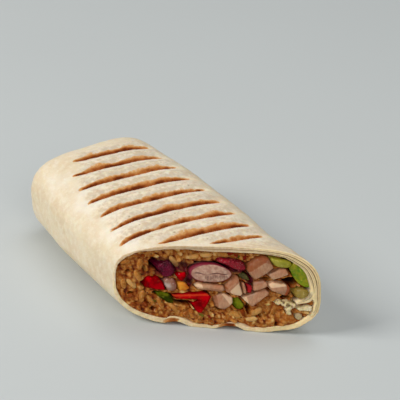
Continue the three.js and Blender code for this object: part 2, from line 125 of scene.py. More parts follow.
def lattice(cells, seed):
    """A repeatable random number from -1 to 1 for each whole-numbered cell."""
    mixed = cells[..., 0] * 73856093 ^ cells[..., 1] * 19349663 ^ cells[..., 2] * 83492791 ^ seed * 7919
    mixed = ((mixed ^ mixed >> 13) * 1274126177) & 0xFFFFFFFF
    return ((mixed ^ mixed >> 16) & 0xFFFF) / 32767.5 - 1


def noise(points, size, seed, octaves=2):
    """Smooth noise of about -1 to 1, whose largest lumps are about size across."""
    total = 0
    for octave in range(octaves):
        place = np.asarray(points) / size * 2**octave + 17.3 * octave + 100
        cell = np.floor(place).astype(np.int64)
        share = place - cell
        share = share * share * (3 - 2 * share)
        value = 0
        for corner in itertools.product((0, 1), repeat=3):
            weight = np.prod(np.where(corner, share, 1 - share), axis=-1)
            value = value + weight * lattice(cell + np.array(corner), seed + octave)
        total = total + value / 2**octave
    return total


# ---- Form of the roll ----


def half_width(x, side):
    taper = 2.5 * smoothstep(-x, 70, 105)
    return ROLL_WIDTH / 2 - taper - np.where(side > 0, 1.5 * bell(x + 10, 14), 0)


def square_direction(angle):
    across, up = np.cos(angle), np.sin(angle)
    power = 2 / np.where(up > 0, TOP_SQUARENESS, LOW_SQUARENESS)
    return np.sign(across) * np.abs(across) ** power, np.sign(up) * np.abs(up) ** power


def roll_point(x, angle, inset):
    """A point of the smooth roll, moved in by inset."""
    across, up = square_direction(angle)
    opened = np.sqrt(1 - (1 - np.clip((x - CLOSED_END) / END_ROUND, 0, 1)) ** 2)
    y = across * (half_width(x, across) - inset) * lerp(END_WIDE, 1, opened)
    reach = np.where(up > 0, ROLL_HEIGHT + TOP_TILT * y - WAIST_HEIGHT, WAIST_HEIGHT + 0.6)
    share = lerp(np.where(up > 0, END_TOP, END_LOW), 1, opened)
    skew = lerp(MARK_SKEW, -END_SKEW, smoothstep(-x, 98, 115))
    return point(x + skew * y, y, WAIST_HEIGHT + up * (reach - inset) * share)


def behind_cut(points):
    return (points[..., 1] * TAN_BIAS - points[..., 0]) * COS_BIAS


def rim_station(angle, inset, behind):
    """Where along the roll a line at this angle and inset lies this far behind the cut."""
    x = np.zeros(np.broadcast(angle, inset, behind).shape)
    for _ in range(6):
        y = roll_point(x, angle, inset)[..., 1]
        x = y * (TAN_BIAS - MARK_SKEW) - behind / COS_BIAS
    return x


def turn_of(angle):
    return np.degrees(np.arctan2(np.sin(angle), np.cos(angle)))


def wrap_thickness(angle):
    return np.interp(turn_of(angle), WRAP_TURNS, WRAP_THICKNESS)


def mark_offset(x, first):
    """Distance from the nearest mark, positive on the side of the cut."""
    turns = (x - first) / MARK_PITCH
    return (turns - np.round(turns)) * MARK_PITCH


def low_press(y):
    return fade(np.abs(y), 15, 22)


def low_groove(x, offset):
    """Depth of a groove of the underside. The two that run out at the cut are wider on one side."""
    before = np.interp(x, [-9, 3], [2.8, 4.8])
    after = np.interp(x, [-9, 3], [3.6, 3.2])
    return LOW_DEPTH * between(offset, -before, -0.5, 0.7, after)


def with_low_rise(points, x, angle):
    """Raised over the underside: at the rim over the grooves that run out there, and evenly further in."""
    rise = lerp(low_groove(x, mark_offset(x, LOW_MARK)), LOW_RISE, smoothstep(behind_cut(points), 7, 13))
    lifted = points.copy()
    lifted[..., 2] += np.where(np.sin(angle) < 0, low_press(points[..., 1]) * rise, 0)
    return lifted


def inside_point(x, angle, extra):
    thickness = wrap_thickness(angle) + extra
    behind = behind_cut(roll_point(x, angle, thickness))
    clearance = 1.4 * smoothstep(behind, 3, 9) * smoothstep(np.sin(angle), 0, 0.6)
    return with_low_rise(roll_point(x, angle, thickness + clearance), x, angle)


def even_angles(count):
    """Angles that divide the section into steps of equal length."""
    fine = np.linspace(-math.pi, math.pi, 4001)
    points = roll_point(np.zeros(fine.shape), fine, 0)
    lengths = np.concatenate([[0], np.cumsum(np.linalg.norm(np.diff(points, axis=0), axis=1))])
    return np.interp(np.arange(count) / count * lengths[-1], lengths, fine)[None, :]


def cut_point(u, z, behind):
    """A place on the cut, moved along the roll until it is this far behind the face."""
    return point(u * SIN_BIAS - behind / COS_BIAS, u * COS_BIAS, z)


def cut_place(points):
    """The place on the cut that a point is straight behind."""
    return points[..., 1] / COS_BIAS, points[..., 2]


# ---- Meshes ----


def to_frame(points):
    return (np.asarray(points) + SHIFT) / 1000


def from_frame(points):
    return np.asarray(points) * 1000 - SHIFT


def grid_faces(rows, columns):
    """Quads between rings of points, each ring closed."""
    row = np.arange(rows - 1)[:, None] * columns
    here = np.arange(columns)[None, :]
    there = (here + 1) % columns
    return np.stack([row + here, row + there, row + columns + there, row + columns + here], -1).reshape(-1, 4)


def fan_faces(ring, pole, columns, flip):
    here = np.arange(columns) + ring
    there = (np.arange(columns) + 1) % columns + ring
    sides = [there, here] if flip else [here, there]
    return np.stack([*sides, np.full(columns, pole)], -1)


def closed_loft(rings, start=None, end=None):
    """Points and faces of rings (rows, columns, 3), closed at each end by a point or the ring's middle."""
    rows, columns, _ = rings.shape
    start = rings[0].mean(axis=0) if start is None else start
    end = rings[-1].mean(axis=0) if end is None else end
    count = rows * columns
    faces = grid_faces(rows, columns).tolist()
    faces += fan_faces(0, count, columns, True).tolist()
    faces += fan_faces(count - columns, count + 1, columns, False).tolist()
    return np.concatenate([rings.reshape(-1, 3), [start, end]]), faces


def add_object(name, data):
    made = bpy.data.objects.new(name, data)
    bpy.context.scene.collection.objects.link(made)
    return made


def turn_outward(mesh):
    work = bmesh.new()
    work.from_mesh(mesh)
    bmesh.ops.recalc_face_normals(work, faces=work.faces)
    work.to_mesh(mesh)
    work.free()


def add_piece(name, points, faces, material, values, slot, *nodes):
    """A smooth piece on the one body, with float attributes for its material, that stands for its nodes."""
    mesh = bpy.data.meshes.new(name)
    mesh.from_pydata(to_frame(points).tolist(), [], faces)
    mesh.validate()
    for attribute, numbers in values.items():
        layer = mesh.attributes.new(attribute, "FLOAT", "POINT")
        layer.data.foreach_set("value", np.asarray(numbers, np.float32))
    mesh.shade_smooth()
    mesh.materials.append(material)
    turn_outward(mesh)
    piece = add_object(name, mesh)
    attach(piece, "root")
    if nodes:
        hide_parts(*nodes)


# ---- Materials ----


class Recipe:
    """A material's nodes, put together by name. A colour is its red, green and blue."""

    def __init__(
        self, name, rough, specular, glow=0.0, tint=(1.0, 0.55, 0.25), depth=1.2, coat=0.0, coat_rough=0.03,
    ):
        """Of the light, the share glow goes about depth millimetres in and comes out in the tint."""
        self.material = bpy.data.materials.new(name)
        self.material.use_nodes = True
        self.tree = self.material.node_tree
        self.shader = self.tree.nodes["Principled BSDF"]
        self.place = self.tree.nodes.new("ShaderNodeTexCoord").outputs["Object"]
        self.finish(
            Roughness=rough, Specular_IOR_Level=specular, Subsurface_Weight=glow, Subsurface_Radius=tint,
            Subsurface_Scale=depth / 1000, Coat_Weight=coat, Coat_Roughness=coat_rough,
        )

    def set(self, socket, value):
        if isinstance(value, bpy.types.NodeSocket):
            self.tree.links.new(value, socket)
        else:
            socket.default_value = (*value, 1.0) if socket.type == "RGBA" else value

    def add(self, kind, output, settings, **sockets):
        """One output of a new node. A socket is given by its name, or by its number after a letter."""
        made = self.tree.nodes.new("ShaderNode" + kind)
        for key, value in settings.items():
            setattr(made, key, value)
        for key, value in sockets.items():
            self.set(made.inputs[int(key[1:]) if key[1:].isdigit() else key.replace("_", " ")], value)
        return made.outputs[output]

    def value(self, name):
        return self.add("Attribute", "Fac", {"attribute_name": name})

    def grain(self, size, detail=3.0, rough=0.5, seed=0.0, place=None):
        """Noise of 0 to 1 whose lumps are about size millimetres across."""
        return self.add(
            "TexNoise", "Fac", {"noise_dimensions": "4D"}, Vector=place or self.place, W=seed,
            Scale=1000 / size, Detail=detail, Roughness=rough,
        )

    def cells(self, size):
        return self.add("TexVoronoi", "Distance", {}, Vector=self.place, Scale=1000 / size)

    def stretched(self, scale, turn=(0.0, 0.0, 0.0)):
        return self.add("Mapping", "Vector", {}, Vector=self.place, Scale=scale, Rotation=turn)

    def span(self, value, low, high, start=0.0, end=1.0):
        """The value between low and high, as a number from start to end."""
        return self.add(
            "MapRange", "Result", {"interpolation_type": "SMOOTHSTEP"}, Value=value, From_Min=low,
            From_Max=high, To_Min=start, To_Max=end,
        )

    def patches(self, size, low, high, end=1.0, detail=3.0, rough=0.5, seed=0.0):
        """Soft patches from 0 to end, where the noise goes from low to high."""
        return self.span(self.grain(size, detail, rough, seed), low, high, 0, end)

    def sum(self, a, b, operation="ADD", clamp=False):
        return self.add("Math", 0, {"operation": operation, "use_clamp": clamp}, n0=a, n1=b)

    def times(self, a, b, clamp=False):
        return self.sum(a, b, "MULTIPLY", clamp)

    def frayed(self, value, amount, size, detail=3.0, rough=0.5, seed=0.0):
        """The value, moved up and down by noise, up to half of amount either way."""
        lumps = self.sum(self.grain(size, detail, rough, seed), 0.5, "SUBTRACT")
        return self.sum(value, self.times(lumps, amount))

    def mix(self, share, low, high):
        """From the colour low to the colour high."""
        return self.add("Mix", 2, {"data_type": "RGBA", "clamp_factor": True}, n0=share, n6=low, n7=high)

    def ramp(self, value, *stops):
        output = self.add("ValToRGB", "Color", {}, Fac=value)
        elements = output.node.color_ramp.elements
        while len(elements) < len(stops):
            elements.new(0.5)
        for element, (position, colour) in zip(elements, stops):
            element.position = position
            element.color = (*colour, 1.0)
        return output

    def bump(self, height, depth):
        """Relief of so many millimetres for a height of 1."""
        relief = self.add("Bump", "Normal", {}, Height=height, Strength=1.0, Distance=depth / 1000)
        normal = self.shader.inputs["Normal"]
        if normal.is_linked:
            self.set(relief.node.inputs["Normal"], normal.links[0].from_socket)
        self.set(normal, relief)

    def finish(self, **sockets):
        for socket, value in sockets.items():
            self.set(self.shader.inputs[socket.replace("_", " ")], value)
        return self.material


def tortilla_material():
    m = Recipe("tortilla", 0.7, 0.35, 0.25)
    toast, rib, rib_light_and_shoulder, tan = (m.value(name) for name in ("toast", "rib", "rib_light_and_shoulder", "tan"))
    dough = m.mix(m.patches(16, 0.3, 0.7), (0.74, 0.585, 0.38), (0.82, 0.69, 0.48))
    dough = m.mix(m.patches(2.8, 0.4, 0.68, 0.6, 4, 0.7, 6), dough, (0.88, 0.79, 0.62))
    mottled = m.patches(2.2, 0.38, 0.66, rough=0.6, seed=3)
    surface = m.mix(rib, dough, m.mix(mottled, (0.67, 0.53, 0.36), (0.88, 0.77, 0.58)))
    surface = m.mix(m.patches(0.8, 0.58, 0.74, 0.6, 2, seed=9), surface, (0.90, 0.83, 0.68))
    # painted shade just before each mark and painted highlight just after it, where the ribs bulge; also
    # lighter along the -Y shoulder
    surface = m.mix(m.span(rib_light_and_shoulder, 0, -1, 0, 0.45), surface, (0.58, 0.505, 0.41))
    surface = m.mix(m.span(rib_light_and_shoulder, 0, 1, 0, 0.55), surface, (0.93, 0.87, 0.75))
    # tan on the outside: painted shade along the steps of the ply lines
    surface = m.mix(m.times(tan, 0.8), surface, (0.52, 0.33, 0.16))
    crumb = m.mix(m.patches(0.9, 0.3, 0.7, seed=5), (0.77, 0.56, 0.33), (0.96, 0.80, 0.55))
    # tan on the cut edge: painted shade between the layers, and darker along the top
    crumb = m.mix(tan, crumb, (0.46, 0.27, 0.13))
    # painted glow: the cut edge painted lighter and yellower, as if light shone through it
    crumb = m.mix(m.value("painted_glow"), crumb, (1.0, 0.75, 0.38))
    surface = m.mix(m.value("rim"), surface, crumb)
    uneven = m.frayed(toast, 0.7, 1.6, rough=0.6, seed=2)
    shown = m.times(uneven, m.span(toast, 0.02, 0.2), clamp=True)
    browned = m.ramp(
        shown,
        (0.0, (0.80, 0.60, 0.36)),
        (0.3, (0.66, 0.33, 0.11)),
        (0.58, (0.46, 0.15, 0.035)),
        (0.82, (0.27, 0.062, 0.01)),
        (1.0, (0.16, 0.03, 0.006)),
    )
    colour = m.mix(m.span(shown, 0.02, 0.28), surface, browned)
    specks = m.span(m.cells(5.5), 0.1, 0.06, 0, 0.45)
    colour = m.mix(m.times(specks, rib), colour, (0.25, 0.12, 0.05))
    m.bump(m.grain(5, 2, seed=1), 0.3)
    m.bump(m.grain(1.4, rough=0.65, seed=4), 0.27)
    return m.finish(Base_Color=colour, Specular_IOR_Level=m.span(shown, 0.1, 0.5, 0.35, 0.05))


def rice_material():
    m = Recipe("rice", 0.36, 0.05, 0.6, depth=1.4, coat=0.12, coat_rough=0.1)
    shade = m.value("shade")
    colour = m.ramp(
        shade,
        (0.0, (0.10, 0.012, 0.002)),
        (0.15, (0.24, 0.042, 0.003)),
        (0.35, (0.31, 0.074, 0.007)),
        (0.62, (0.42, 0.128, 0.012)),
        (0.85, (0.57, 0.25, 0.05)),
        (1.0, (0.82, 0.56, 0.22)),
    )
    speck = m.patches(0.9, 0.42, 0.68, rough=0.7, seed=11)
    colour = m.mix(m.times(speck, m.span(shade, 0.2, 0.5, 0, 0.6)), colour, (0.74, 0.42, 0.14))
    # painted shade: dark patches at random, standing in for the hollows between grains
    colour = m.mix(m.patches(1.3, 0.5, 0.28, 0.4, rough=0.7, seed=12), colour, (0.22, 0.05, 0.004))
    spice = m.patches(6, 0.35, 0.7, 0.4, seed=2)
    colour = m.mix(m.times(spice, m.span(shade, 0.15, 0.4)), colour, (0.38, 0.115, 0.012))
    juice = m.mix(m.patches(2.4, 0.45, 0.7, seed=14), (0.05, 0.001, 0.004), (0.20, 0.006, 0.02))
    colour = m.mix(m.value("stain"), colour, juice)
    colour = m.mix(m.span(m.cells(2.6), 0.16, 0.1, 0, 0.8), colour, (0.10, 0.035, 0.01))
    # painted shade: near-black in the hollows and in the gaps between the pieces
    colour = m.mix(m.value("painted_pit_shade"), colour, (0.012, 0.003, 0.002))
    m.bump(m.grain(0.8, rough=0.65, seed=6), 0.3)
    return m.finish(Base_Color=colour)


def meat_material():
    m = Recipe("chicken", 0.46, 0.2, 0.35, (1.0, 0.45, 0.3), 1.0, 0.12, 0.2)
    tone = m.value("tone")
    fibres = m.grain(1.1, 3, 0.6, 2.0, m.stretched((2.2, 1.0, 0.6), (0.4, 0.3, 0.6)))
    pale = m.mix(m.span(fibres, 0.3, 0.7), (0.44, 0.195, 0.10), (0.57, 0.32, 0.18))
    pale = m.mix(m.patches(4, 0.4, 0.7, 0.6, 2, seed=7), pale, (0.50, 0.19, 0.09))
    pale = m.mix(m.patches(5, 0.5, 0.75, 0.5, 2, seed=8), pale, (0.36, 0.25, 0.17))
    brown = m.mix(m.grain(1.2, seed=1), (0.20, 0.035, 0.008), (0.38, 0.12, 0.03))
    # painted highlight: the paler sides of the ridges
    colour = m.mix(m.span(tone, 0, -0.6, 0, 0.85), pale, (0.88, 0.60, 0.37))
    edge = m.frayed(m.value("edge"), 1.3, 1.8, 2, seed=3)
    colour = m.mix(m.span(edge, -0.4, 0.4, 0.8, 0), colour, brown)
    scorched = m.frayed(tone, 0.8, 1.6, seed=5)
    colour = m.mix(m.span(scorched, 0.05, 0.9, 0, 0.95), colour, brown)
    colour = m.mix(m.span(scorched, 1.1, 1.6, 0, 0.8), colour, (0.48, 0.10, 0.03))
    m.bump(fibres, 0.07)
    return m.finish(Base_Color=colour)


def pepper_material(name, deep, bright, inner):
    m = Recipe(name, 0.3, 0.0, 0.3, (1.0, 0.25, 0.15), 1.0, 0.05, 0.05)
    tone = m.value("tone")
    colour = m.mix(m.patches(3.5, 0.35, 0.68, 1, 2, seed=1), deep, bright)
    colour = m.mix(m.patches(2.4, 0.6, 0.75, 0.4, 2, seed=4), colour, inner)
    colour = m.mix(m.span(m.value("edge"), 0.0, 0.35, 0.45, 0), colour, deep)
    colour = m.mix(m.span(tone, 0, 0.6, 0, 0.8), colour, deep)
    # painted highlight: the paler sides of the ridges, such as the orange stripe on red_pepper_3
    colour = m.mix(m.span(tone, 0, -0.6, 0, 0.8), colour, inner)
    m.bump(m.grain(0.9, 2, seed=2), 0.1)
    return m.finish(Base_Color=colour)


def leaf_material(name, deep, bright, pale, wet=0.2, beads=0.0, holes=0.0, heart=0.0, patch=5):
    m = Recipe(name, 0.4, 0.1, 0.35, (0.7, 1.0, 0.3), coat=wet, coat_rough=0.1)
    edge = m.value("edge")
    colour = m.mix(m.patches(patch, 0.32, 0.68, 1, 2, seed=1), deep, bright)
    veins = m.grain(1.2, 3, 0.55, 3.0, m.stretched((0.5, 2.0, 1.2)))
    colour = m.mix(m.span(veins, 0.55, 0.72, 0, 0.75), colour, pale)
    colour = m.mix(m.span(edge, 0.0, 0.45, 0.55, 0), colour, deep)
    m.bump(veins, 0.25)
    # heart: the middle of the face paler, partly the piece's own paler middle and partly a painted highlight
    if heart:
        colour = m.mix(m.span(edge, 0.5, 1.0, 0, heart), colour, pale)
    if beads:
        drops = m.cells(0.75)
        colour = m.mix(m.span(drops, 0.28, 0.1, 0, beads), colour, pale)
        m.bump(m.span(drops, 0.6, 0.1), 0.3)
    # holes: dark brown sunken spots, painted shade in the holes of the curly cabbage
    if holes:
        gaps = m.span(m.cells(1.7), 0.42, 0.2, 0, holes)
        colour = m.mix(gaps, colour, (0.20, 0.08, 0.012))
        m.bump(gaps, -0.5)
    return m.finish(Base_Color=colour)


def bean_material():
    m = Recipe("bean", 0.5, 0.25, 0.3, (1.0, 0.5, 0.4), coat=0.15, coat_rough=0.2)
    flesh = m.mix(m.patches(1.3, 0.3, 0.7, seed=1), (0.44, 0.22, 0.15), (0.66, 0.42, 0.30))
    flesh = m.mix(m.value("vein"), flesh, (0.10, 0.015, 0.015))
    skin = m.mix(m.grain(1.0, 2, seed=2), (0.15, 0.006, 0.02), (0.32, 0.022, 0.05))
    m.bump(m.grain(0.6, 2, seed=5), 0.08)
    return m.finish(Base_Color=m.mix(m.value("skin"), flesh, skin))


def floor_material():
    m = Recipe("floor", 0.75, 0.2)
    return m.finish(Base_Color=m.mix(m.grain(240, 2), (0.56, 0.59, 0.585), (0.59, 0.62, 0.615)))


# ---- Tortilla ----

# Where along the roll the marks are, and how far towards -Y each of them reaches.
MARK_TIPS_X = [-110, -98, -86, -74, -62, -50, -38, -26, -14, -2]
MARK_TIPS_Y = [-14, -15, -21.5, -23.6, -25.0, -25.3, -27.0, -29.0, -15.5, 0.5]

# The layer edges along the cut: how far behind it, where along Y each starts, and how strongly it shows.
PLY_LINES = [(1.5, 4, 0.8), (3.0, 9, 1.0), (4.8, 14, 0.8)]


def top_press(points):
    """How strongly the grill has pressed the top at a point, and how strongly it has browned it there."""
    x, y, _ = coordinates(points)
    mark_end = lerp(-31, -14, smoothstep(-x, 60, 104))
    tip = np.interp(x, MARK_TIPS_X, MARK_TIPS_Y)
    press = between(y, mark_end, mark_end + 7, 17, 25) * smoothstep(behind_cut(points), 1.5, 7)
    return press * smoothstep(y, tip - 2, tip + 5), between(y, tip - 1.0, tip + 11, 11, 24)


def mark_field(points, x, top):
    """Distance from the nearest mark, how strongly the grill pressed and how strongly it browned."""
    wander = 0.45 * noise(points, 14, 3) + 0.15 * noise(points, 4, 5)
    drift = 1.5 * bell(x - TOP_MARK, 6) - 0.5 * bell(x - TOP_MARK + 3 * MARK_PITCH, 9)
    offset = np.where(top, mark_offset(x + wander + drift, TOP_MARK), mark_offset(x + wander, LOW_MARK))
    opened = smoothstep(x, CLOSED_END + 8, CLOSED_END + 13)
    press, seared = top_press(points)
    low = low_press(points[..., 1])
    return offset, np.where(top, press, low) * opened, np.where(top, seared, low) * opened


def browning(points, x, offset, seared, top):
    """How brown a mark is: a dark line in its groove, and a ragged scorch on the side away from the cut."""
    slim = lerp(0.4, 1, seared)
    ragged = offset + 0.45 * noise(points, 1.8, 13)
    reach = 4.2 + 2.6 * noise(points, 7, 11) + 1.2 * bell(x - TOP_MARK + MARK_PITCH, 5)
    reach = np.maximum(1.0, reach) * lerp(0.25, 1, seared)
    scorch = smoothstep(ragged, -1.2 * slim - reach, -1.2 * slim) ** 1.8 * fade(offset, 0.3, 1.0)
    line = bell(np.minimum(offset + 1.5 * slim, 0) + np.maximum(offset, 0), 0.55 * slim)
    toast = 0.48 * scorch + 0.42 * line * (0.85 + 0.8 * noise(points, 4, 12))
    return toast * smoothstep(seared, 0.0, 0.3) * np.where(top, np.interp(x, [3, 6], [1, 0.1]), 1)


def painted_rib_light_and_pale_shoulder(points, offset, press):
    """How much lighter or greyer the outside is painted: above 0 just after a mark, a painted highlight where
    each rib bulges, and along the -Y shoulder; below 0 just before a mark, painted shade.
    """
    x, y, z = coordinates(points)
    painted_highlight = 0.7 * press * bell(offset - 2.8, 1.7)
    painted_shade = press * bell(offset + 3.7, 1.5) * (0.8 + 0.6 * noise(points, 3, 14))
    shoulder = bell(y + 24, 6) * smoothstep(z, 20, 30) * fade(-x, 88, 106)
    return painted_highlight + shoulder * (0.6 + 0.5 * noise(points, 6, 15)) - painted_shade


def ply_lines(points):
    """Where layer edges show on the outside, along the cut on the upper +Y side."""
    _, y, z = coordinates(points)
    total = 0
    for index, (at, start, strength) in enumerate(PLY_LINES):
        wander = 0.9 * noise(point(9 * index, y, z), 9, 37)
        along = between(y, start, start + 6, 27, 30.5) * smoothstep(z, 22, 26)
        along = along * (0.75 + 0.5 * noise(points, 5, 38))
        total = total + strength * along * bell(behind_cut(points) - at - wander, 0.38)
    return np.clip(total, 0, 1)


def creases(points, press):
    """Height of the fine creases near the cut on the +Y side, with a step down at each ply line."""
    _, y, z = coordinates(points)
    behind = behind_cut(points)
    near = smoothstep(y, 0, 12) * fade(behind, 7, 16) * (1 - 0.8 * press)
    crease = 0.3 * near * noise(point(behind, 0.13 * y, 0.13 * z), 2.6, 35)
    return np.minimum(crease, 0.15) - 0.3 * ply_lines(points)


def seam_step(points):
    """The free edge of the outer layer runs along the lower +Y side."""
    x, y, z = coordinates(points)
    line = 9.5 + 0.6 * np.sin(x / 17) + 0.5 * np.sin(x / 7.3)
    return -0.7 * smoothstep(y, 24, 28) * fade(z - line, -0.25, 0.25) * smoothstep(z, 1, 5)


def pressed_surface(x, angle):
    """The outside with its grill marks, and how brown and how ribbed each point of it is, and how much
    painted rib highlight or shade, or pale shoulder, it has.
    """
    points = roll_point(x, angle, 0)
    across, up = square_direction(angle)
    top = up > 0
    outward = point(0, across, up)
    outward /= np.linalg.norm(outward, axis=-1, keepdims=True)
    offset, press, seared = mark_field(points, x, top)
    toast = browning(points, x, offset, seared, top)
    groove = between(offset, -2.7 * lerp(0.4, 1, seared), -0.2, 0.2, 0.9)
    depth = np.where(top, TOP_DEPTH * groove, low_groove(x, offset)) * press
    crown = 0.5 * np.cos((offset - 6) / MARK_PITCH * 2 * math.pi) * press
    swell = 0.22 * noise(points, 22, 1) + 0.09 * noise(points, 5, 2)
    lift = np.where(top, swell + crown - depth + creases(points, press), np.minimum(swell, 0.05))
    points = points + outward * lift[..., None]
    low = np.maximum(0.0, points[..., 2]) + np.where(top, 0, depth)
    points[..., 2] = np.where(top, points[..., 2], low)
    points = points + outward * seam_step(points)[..., None]
    points[..., 2] = np.maximum(points[..., 2], 0)
    return points, toast, press * np.where(top, 1, 0.5), painted_rib_light_and_pale_shoulder(points, offset, press * top)


# Where in the wrap its layers stand apart at the cut, and the fine gaps between plies: the share of the wrap
# and the turns, in degrees, between which each shows.
FIRST_SLIT, SECOND_SLIT = (0.4, 0.5), (0.75, 0.83)
SLIT_DEPTH = 4.0
FINE_PLIES = [(0.2, -25, 112), (0.61, -2, 102), (0.91, 5, 80)]
RIM_SHARES = np.array([
    0.0, 0.04, 0.1, 0.14, 0.17, 0.19, 0.21, 0.23, 0.3, 0.36, 0.39, 0.4, 0.45, 0.5, 0.51, 0.56, 0.59, 0.61,
    0.63, 0.65, 0.7, 0.74, 0.75, 0.79, 0.83, 0.84, 0.87, 0.89, 0.91, 0.93, 0.96, 1.0,
])


def layer_share(angle, share):
    """Where in the wrap a row of the rim lies: below the inner end, the outer layers fill more of it."""
    start, end = FIRST_SLIT
    turn = turn_of(angle)
    moved = np.where(np.abs(turn) < 90, lerp(0.66, start, smoothstep(turn, -5, 0)), start)
    beyond = moved + end - start + (share - end) / (1 - end) * (1 - moved - end + start)
    outer = np.where(share < start, share / start * moved, moved + share - start)
    return np.where(share < end, outer, beyond)


def rim_place(angle, share):
    return point(np.cos(angle) * 40, np.sin(angle) * 30, share * 3)


def fine_plies(turn):
    """Each fine gap between plies: where in the wrap it lies, and how far it shows at each turn."""
    for at, low, high in FINE_PLIES:
        yield at, between(turn, low, low + 8, high - 8, high)


def rim_setback(angle, share):
    """How far each bit of the cut edge lies behind the plane: layers part, and their edges are uneven."""
    turn = turn_of(angle)
    place, ring = rim_place(angle, share), rim_place(angle, 0)
    first = between(turn, -19, -12, 84, 98)
    second = between(turn, 0, 5, 64, 80)
    rough = 0.17 * noise(place, 2.2, 21, 3) + 0.16 * noise(place, 11, 22)
    edge = 0.3 * fade(share, 0.0, 0.1) + 0.3 * smoothstep(share, 0.92, 1.0)
    outer = 0.35 * first * fade(share, 0.38, 0.42) * (1 + 0.6 * noise(ring, 9, 23))
    inner = -0.1 * second * smoothstep(share, 0.8, 0.84)
    slits = 0
    for opened, (start, end) in ((first, FIRST_SLIT), (second, SECOND_SLIT)):
        slits = slits + SLIT_DEPTH * opened * ((share > start) & (share < end))
    for at, along in fine_plies(turn):
        slits = slits + 0.8 * along * (0.7 + 0.5 * noise(ring, 6, 24)) * (np.abs(share - at) < 0.015)
    return np.maximum(0.02, 0.18 + rough + edge + outer + inner) + slits


def rim_painted_shade_and_tan(angle, share):
    """How dark and brown each bit of the cut edge is: painted shade in the gaps between its layers and along
    its fine plies, darker along the top, and uneven at random.
    """
    turn = turn_of(angle)
    tan = 0.55 * between(turn, 72, 96, 150, 176)
    for at, along in fine_plies(turn):
        tan = tan + 0.9 * along * bell(share - at, 0.025)
    for (start, end), low, high in ((FIRST_SLIT, -19, 98), (SECOND_SLIT, 0, 80)):
        along = between(turn, low, low + 7, high - 10, high)
        tan = tan + along * (share > start - 0.005) * (share < end + 0.005)
    return np.clip(tan + 0.12 * noise(rim_place(angle, share), 3, 25), 0, 1)


def rim_painted_glow(angle, share):
    """How much lighter and yellower the cut edge is painted, a painted glow as of light shining through it:
    most at the end with the layers, none between them.
    """
    turn = turn_of(angle)
    side = between(turn, -75, -50, 60, 95) + 0.5 * (turn < -60)
    return 0.8 * side * (1 - np.minimum(1, 1.4 * rim_painted_shade_and_tan(angle, share)))


def end_relief(points):
    """The folded flaps on the closed end: how far a point of it moves out along -X."""
    _, y, z = coordinates(points)
    relief = 0.35 * noise(points, 7, 31)
    for height, arch, lift in ((12.0, 5.5, 1.3), (19.5, 4.0, 1.0)):
        line = height + arch * np.cos(y / 19) ** 2 + 0.9 * np.sin(y / 5.5 + height) + 0.05 * y
        away = z - line + 0.5 * noise(points, 6, 32)
        relief = relief + lift * between(away, -0.5, 0.5, 2, 8) - 0.7 * bell(away + 0.5, 0.7)
    return relief


def closed_cap(outside):
    """Rings from the middle of the closed end to the outside, with the folded flaps, and their middle."""
    centre = roll_point(CLOSED_END, np.array([0.5, -0.5]) * math.pi, 0).mean(axis=0)
    shrink = np.linspace(0.03, 0.985, 40)[:, None]
    cap = centre + (outside[:1] - centre) * shrink[..., None]
    cap[..., 0] += END_TUCK * fade(shrink, 0, 1)
    cap[..., 0] -= end_relief(cap) * smoothstep(1 - shrink, 0.0, 0.12)
    centre[0] += END_TUCK
    return cap, centre


def cut_rim(angles, shares, rim_edge):
    """Rings over the cut edge, from the outside of the wrap to its inside."""
    uneven = noise(point(np.cos(angles) * 38, np.sin(angles) * 22, 0), 6, 27, 3)
    insets = layer_share(angles, shares) * wrap_thickness(angles) + 0.22 * shares**2 * uneven
    rim_x = rim_station(angles, insets, rim_setback(angles, shares))
    rim = roll_point(rim_x, angles, insets)
    raised = with_low_rise(rim, rim_x, angles)
    last = pressed_surface(rim_edge, angles)[0] - roll_point(rim_edge, angles, 0)
    return rim + last * (1 - shares[..., None]) + (raised - rim) * shares[..., None]


def inner_wall(angles):
    """Rings along the inside of the wrap, from the cut to the closed end."""
    depths = np.array([0.9, 1.5, 2.3, 3.4, 5.0, 7.5, 11.0])[:, None]
    near = rim_station(angles, wrap_thickness(angles), depths)
    far = lerp(near[-1:], CLOSED_END + END_WALL, np.linspace(0, 1, 13)[1:, None])
    wall = inside_point(np.concatenate([near, far]), angles, 0)
    return wall + 0.12 * noise(wall, 6, 41)[..., None] * CUT_ALONG


TORTILLA_COLUMNS = 360
OUTSIDE_ROWS = 236
END_STEPS = np.array([0.0, 0.12, 0.45, 1.0, 1.7, 2.6, 3.7, 5.0, 6.5, 8.2, 10.1])[:, None]


